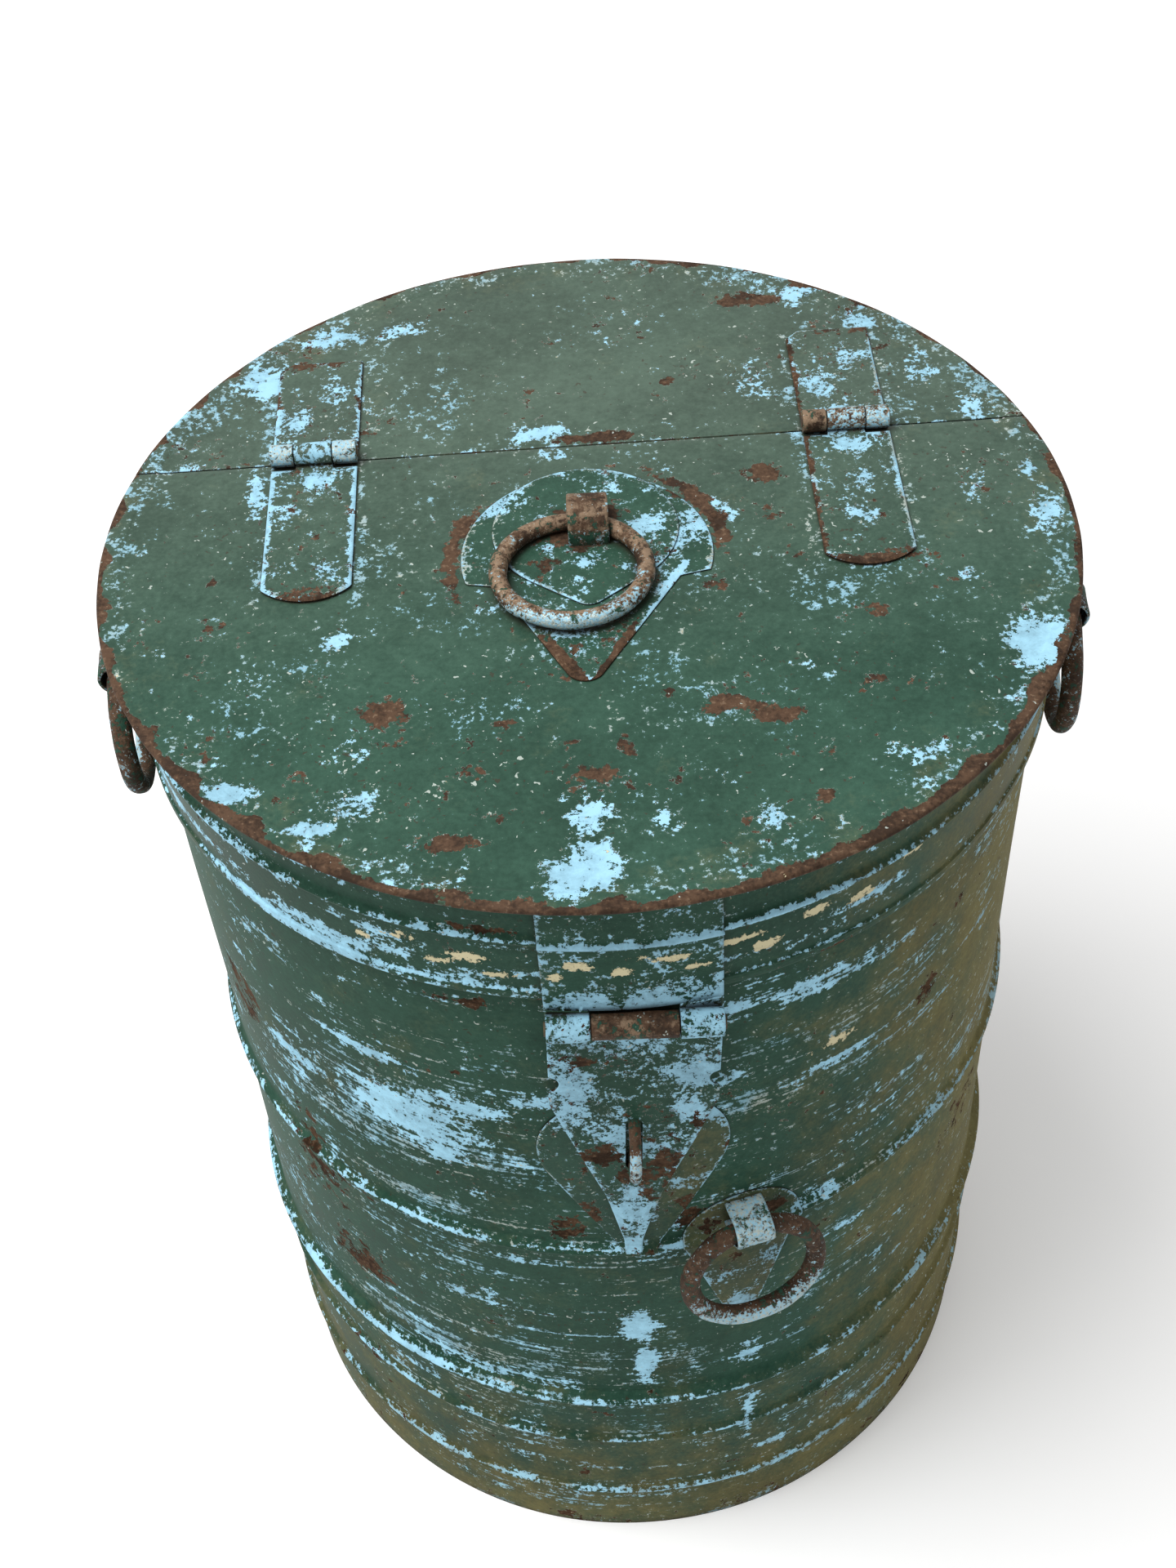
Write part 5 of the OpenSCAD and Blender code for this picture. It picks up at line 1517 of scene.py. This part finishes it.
        surface = patch(drop(0.05, 0.096, 0.008, sx, sz - 0.016), (sx, sz - 0.03), on_wall(0.0), 26,
                        PLATE_OUT, wear, soft=0.0004)
        surface.build("staple_plate", "drum", wall_plate_paint(), "wall_paint",
                      ("hasp_backing_plate",), thickness=bpy.context.scene.drum_sheets.plate,
                      bevel=0.0002)

    def staple(self, low, high):
        """The staple: a rod bent to a loop of two legs and a half circle, with a riveted
        head on each leg inside the wall."""
        seat = ((low[0] + high[0]) / 2, 0, (low[2] + high[2]) / 2)
        rod, head_r = 0.003, 0.0055
        half = (high[2] - low[2]) / 2 - rod
        nose = -low[1] - rod - half
        legs = np.linspace(WALL_R - 0.004, nose, 14, endpoint=False)
        bend = np.linspace(-np.pi / 2, np.pi / 2, 25)
        path = np.concatenate([
            np.stack([0 * legs, -legs, 0 * legs - half], -1),
            np.stack([0 * bend, -nose - half * np.cos(bend), half * np.sin(bend)], -1),
            np.stack([0 * legs, -legs[::-1], 0 * legs + half], -1)])
        grid = carry(path @ HASP_TILT.T + seat, np.array([1.0, 0.0, 0.0]), circle(rod, 20))
        grid += 0.00012 * waves(grid, 0.01, 95)[..., None]
        outer = np.clip((-grid[..., 1] - 0.254) / 0.004, 0, 1)
        surface = Surface()
        capped(surface, grid, blue=0.75 * outer, grime=0.3 * (1 - outer), edge=0.4)
        # each head is a low dome with a flat back
        dome = np.linspace(0.0, np.pi / 2, 7)
        r = np.append(head_r * np.sin(dome), 0.0)[:, None]
        depth = WALL_R - 0.0035 - 0.002 * np.append(np.cos(dome), 0.0)
        a = np.linspace(0, 2 * np.pi, 24, endpoint=False)
        for z in (-half, half):
            head = stack(r * np.cos(a), -depth[:, None], r * np.sin(a) + z)
            surface.add(head @ HASP_TILT.T + seat, wrap_cols=True, rust=0.5)
        look = once("staple olive", rubbed_rod, seed=17.0, blue_at=0.12, bare_at=0.2, tint=0.7)
        surface.build("staple_rod", "drum", look, "worn_rod", ("hasp_staple",))

    def execute(self, context):
        self.top_plate()
        self.knuckles()
        self.strap()
        low, high = corners("hasp_staple")
        self.staple_plate((low[0] + high[0]) / 2, (low[2] + high[2]) / 2)
        self.staple(low, high)
        return {"FINISHED"}


class DRUM_OT_bare_iron(bpy.types.Operator):
    """Give the pins and the base disc their rust"""

    bl_idname = "drum.bare_iron"
    bl_label = "Pins and base"

    def execute(self, context):
        looks = {"base_disc": once("base rust", bare_rust, seed=2.0)}
        for node in ("hinge_left_pin", "hinge_right_pin", "hasp_pin"):
            looks[node] = once("pin rust", bare_rust, seed=6.0)
        for node, material in looks.items():
            for part in slots_of(frame["nodes"][node]):
                part.data.materials.clear()
                part.data.materials.append(material)
        return {"FINISHED"}


def slots_of(thing):
    """The mesh objects of a CAD node."""
    return [o for o in [thing, *thing.children_recursive] if o.type == "MESH"]


def seen_rays(tree):
    """One on rays that are seen, straight from the camera or in a glossy or clear
    surface, and nothing on rays that only light."""
    rays = tree.nodes.new("ShaderNodeLightPath")
    total = rays.outputs["Is Camera Ray"]
    for kind in ("Is Glossy Ray", "Is Transmission Ray"):
        add = tree.nodes.new("ShaderNodeMath")
        add.operation, add.use_clamp = "ADD", True
        tree.links.new(total, add.inputs[0])
        tree.links.new(rays.outputs[kind], add.inputs[1])
        total = add.outputs[0]
    return total


class DRUM_OT_stage(bpy.types.Operator):
    """Make the floor, the soft light and the camera"""

    bl_idname = "drum.stage"
    bl_label = "Stage"

    def execute(self, context):
        scene = context.scene
        studio = scene.drum_studio
        scene.view_settings.view_transform = "Standard"
        # the camera stands close in front, above the lid, and is turned a little to one side
        place = Vector((-0.0003, -0.8203, 1.3549))
        aim = Vector((-0.008, 0.0, 0.4715))
        camera = bpy.data.objects.new("camera", bpy.data.cameras.new("camera"))
        camera.data.lens = 47.94
        camera.data.sensor_width = 36.0
        camera.data.clip_start, camera.data.clip_end = 0.05, 60.0
        roll = Quaternion((0, 0, 1), math.radians(-4.13))
        camera.rotation_mode = "QUATERNION"
        camera.rotation_quaternion = (aim - place).to_track_quat("-Z", "Y") @ roll
        camera.location = place
        scene.collection.objects.link(camera)
        scene.camera = camera

        lamp_data = bpy.data.lights.new("window light", "AREA")
        lamp_data.shape, lamp_data.size, lamp_data.size_y = "RECTANGLE", 1.6, 2.0
        lamp_data.energy = studio.lamp
        lamp = bpy.data.objects.new("window light", lamp_data)
        lamp.location = (-1.05, -0.3, 3.0)
        lamp.rotation_mode = "QUATERNION"
        lamp.rotation_quaternion = (Vector((0, 0, 0.4)) - lamp.location).to_track_quat("-Z", "Y")
        scene.collection.objects.link(lamp)

        # the room: even light, and white where it is seen
        world = bpy.data.worlds.new("white room")
        world.use_nodes = True
        tree = world.node_tree
        tree.nodes.clear()
        strength = tree.nodes.new("ShaderNodeMapRange")
        strength.inputs["To Min"].default_value = studio.sky
        strength.inputs["To Max"].default_value = 1.0
        tree.links.new(seen_rays(tree), strength.inputs["Value"])
        background = tree.nodes.new("ShaderNodeBackground")
        background.inputs["Color"].default_value = (1, 1, 1, 1)
        tree.links.new(strength.outputs[0], background.inputs["Strength"])
        out = tree.nodes.new("ShaderNodeOutputWorld")
        tree.links.new(background.outputs[0], out.inputs["Surface"])
        scene.world = world

        # the floor: a plain disc that glows a little where it is seen, more far out, so
        # that it is white where no shadow falls
        r = np.array([0.0, 0.5, 1.5, 4.0, 20.0])[:, None]
        a = np.linspace(0, 2 * np.pi, 64, endpoint=False)
        grid = stack(r * np.cos(a), r * np.sin(a), 0.0)
        mesh = bpy.data.meshes.new("floor")
        mesh.from_pydata(grid.reshape(-1, 3), [], grid_faces(5, 64, False, True)[:, ::-1])
        floor = bpy.data.objects.new("floor", mesh)
        scene.collection.objects.link(floor)
        material = bpy.data.materials.new("floor white")
        material.use_nodes = True
        tree = material.node_tree
        shader = tree.nodes["Principled BSDF"]
        shader.inputs["Base Color"].default_value = (*studio.floor, 1.0)
        shader.inputs["Roughness"].default_value = 0.9
        shader.inputs["Specular IOR Level"].default_value = 0.0
        shader.inputs["Emission Color"].default_value = (1, 1, 1, 1)
        glow = tree.nodes.new("ShaderNodeMath")
        glow.operation = "MULTIPLY"
        here = tree.nodes.new("ShaderNodeTexCoord")
        far = tree.nodes.new("ShaderNodeVectorMath")
        far.operation = "LENGTH"
        tree.links.new(here.outputs["Object"], far.inputs[0])
        fade = tree.nodes.new("ShaderNodeMapRange")
        for key, value in (("From Min", 0.9), ("From Max", 2.6), ("To Min", 0.19), ("To Max", 1.0)):
            fade.inputs[key].default_value = value
        tree.links.new(far.outputs["Value"], fade.inputs["Value"])
        tree.links.new(fade.outputs[0], glow.inputs[1])
        tree.links.new(seen_rays(tree), glow.inputs[0])
        tree.links.new(glow.outputs[0], shader.inputs["Emission Strength"])
        mesh.materials.append(material)
        return {"FINISHED"}


class DRUM_PT_panel(bpy.types.Panel):
    """List the drum's sizes and colours, and a button for each group of pieces"""

    bl_idname = "DRUM_PT_panel"
    bl_label = "Storage drum"
    bl_space_type = "VIEW_3D"
    bl_region_type = "UI"
    bl_category = "Drum"

    def draw(self, context):
        layout = self.layout
        for title, group in (("Sheets", context.scene.drum_sheets), ("Paint", context.scene.drum_paint),
                             ("Studio", context.scene.drum_studio)):
            box = layout.box()
            box.label(text=title)
            for name in group.__annotations__:
                box.prop(group, name)
        for operator in OPERATORS:
            layout.operator(operator.bl_idname)


OPERATORS = (
    DRUM_OT_stage, DRUM_OT_wall, DRUM_OT_top, DRUM_OT_collars, DRUM_OT_hinges,
    DRUM_OT_lid_ring, DRUM_OT_wall_rings, DRUM_OT_hasp, DRUM_OT_bare_iron)
GROUPS = {"drum_sheets": DrumSheets, "drum_paint": DrumPaint, "drum_studio": DrumStudio}


def register():
    for group in GROUPS.values():
        bpy.utils.register_class(group)
    for name, group in GROUPS.items():
        setattr(bpy.types.Scene, name, PointerProperty(type=group))
    for operator in OPERATORS:
        bpy.utils.register_class(operator)
    bpy.utils.register_class(DRUM_PT_panel)


def unregister():
    bpy.utils.unregister_class(DRUM_PT_panel)
    for operator in reversed(OPERATORS):
        bpy.utils.unregister_class(operator)
    for name in GROUPS:
        delattr(bpy.types.Scene, name)
    for group in reversed(list(GROUPS.values())):
        bpy.utils.unregister_class(group)


def main():
    register()
    bpy.ops.drum.stage()
    bpy.ops.drum.wall()
    bpy.ops.drum.top()
    bpy.ops.drum.collars()
    bpy.ops.drum.hinges()
    bpy.ops.drum.lid_ring()
    bpy.ops.drum.wall_rings()
    bpy.ops.drum.hasp()
    bpy.ops.drum.bare_iron()


if __name__ == "__main__":
    main()
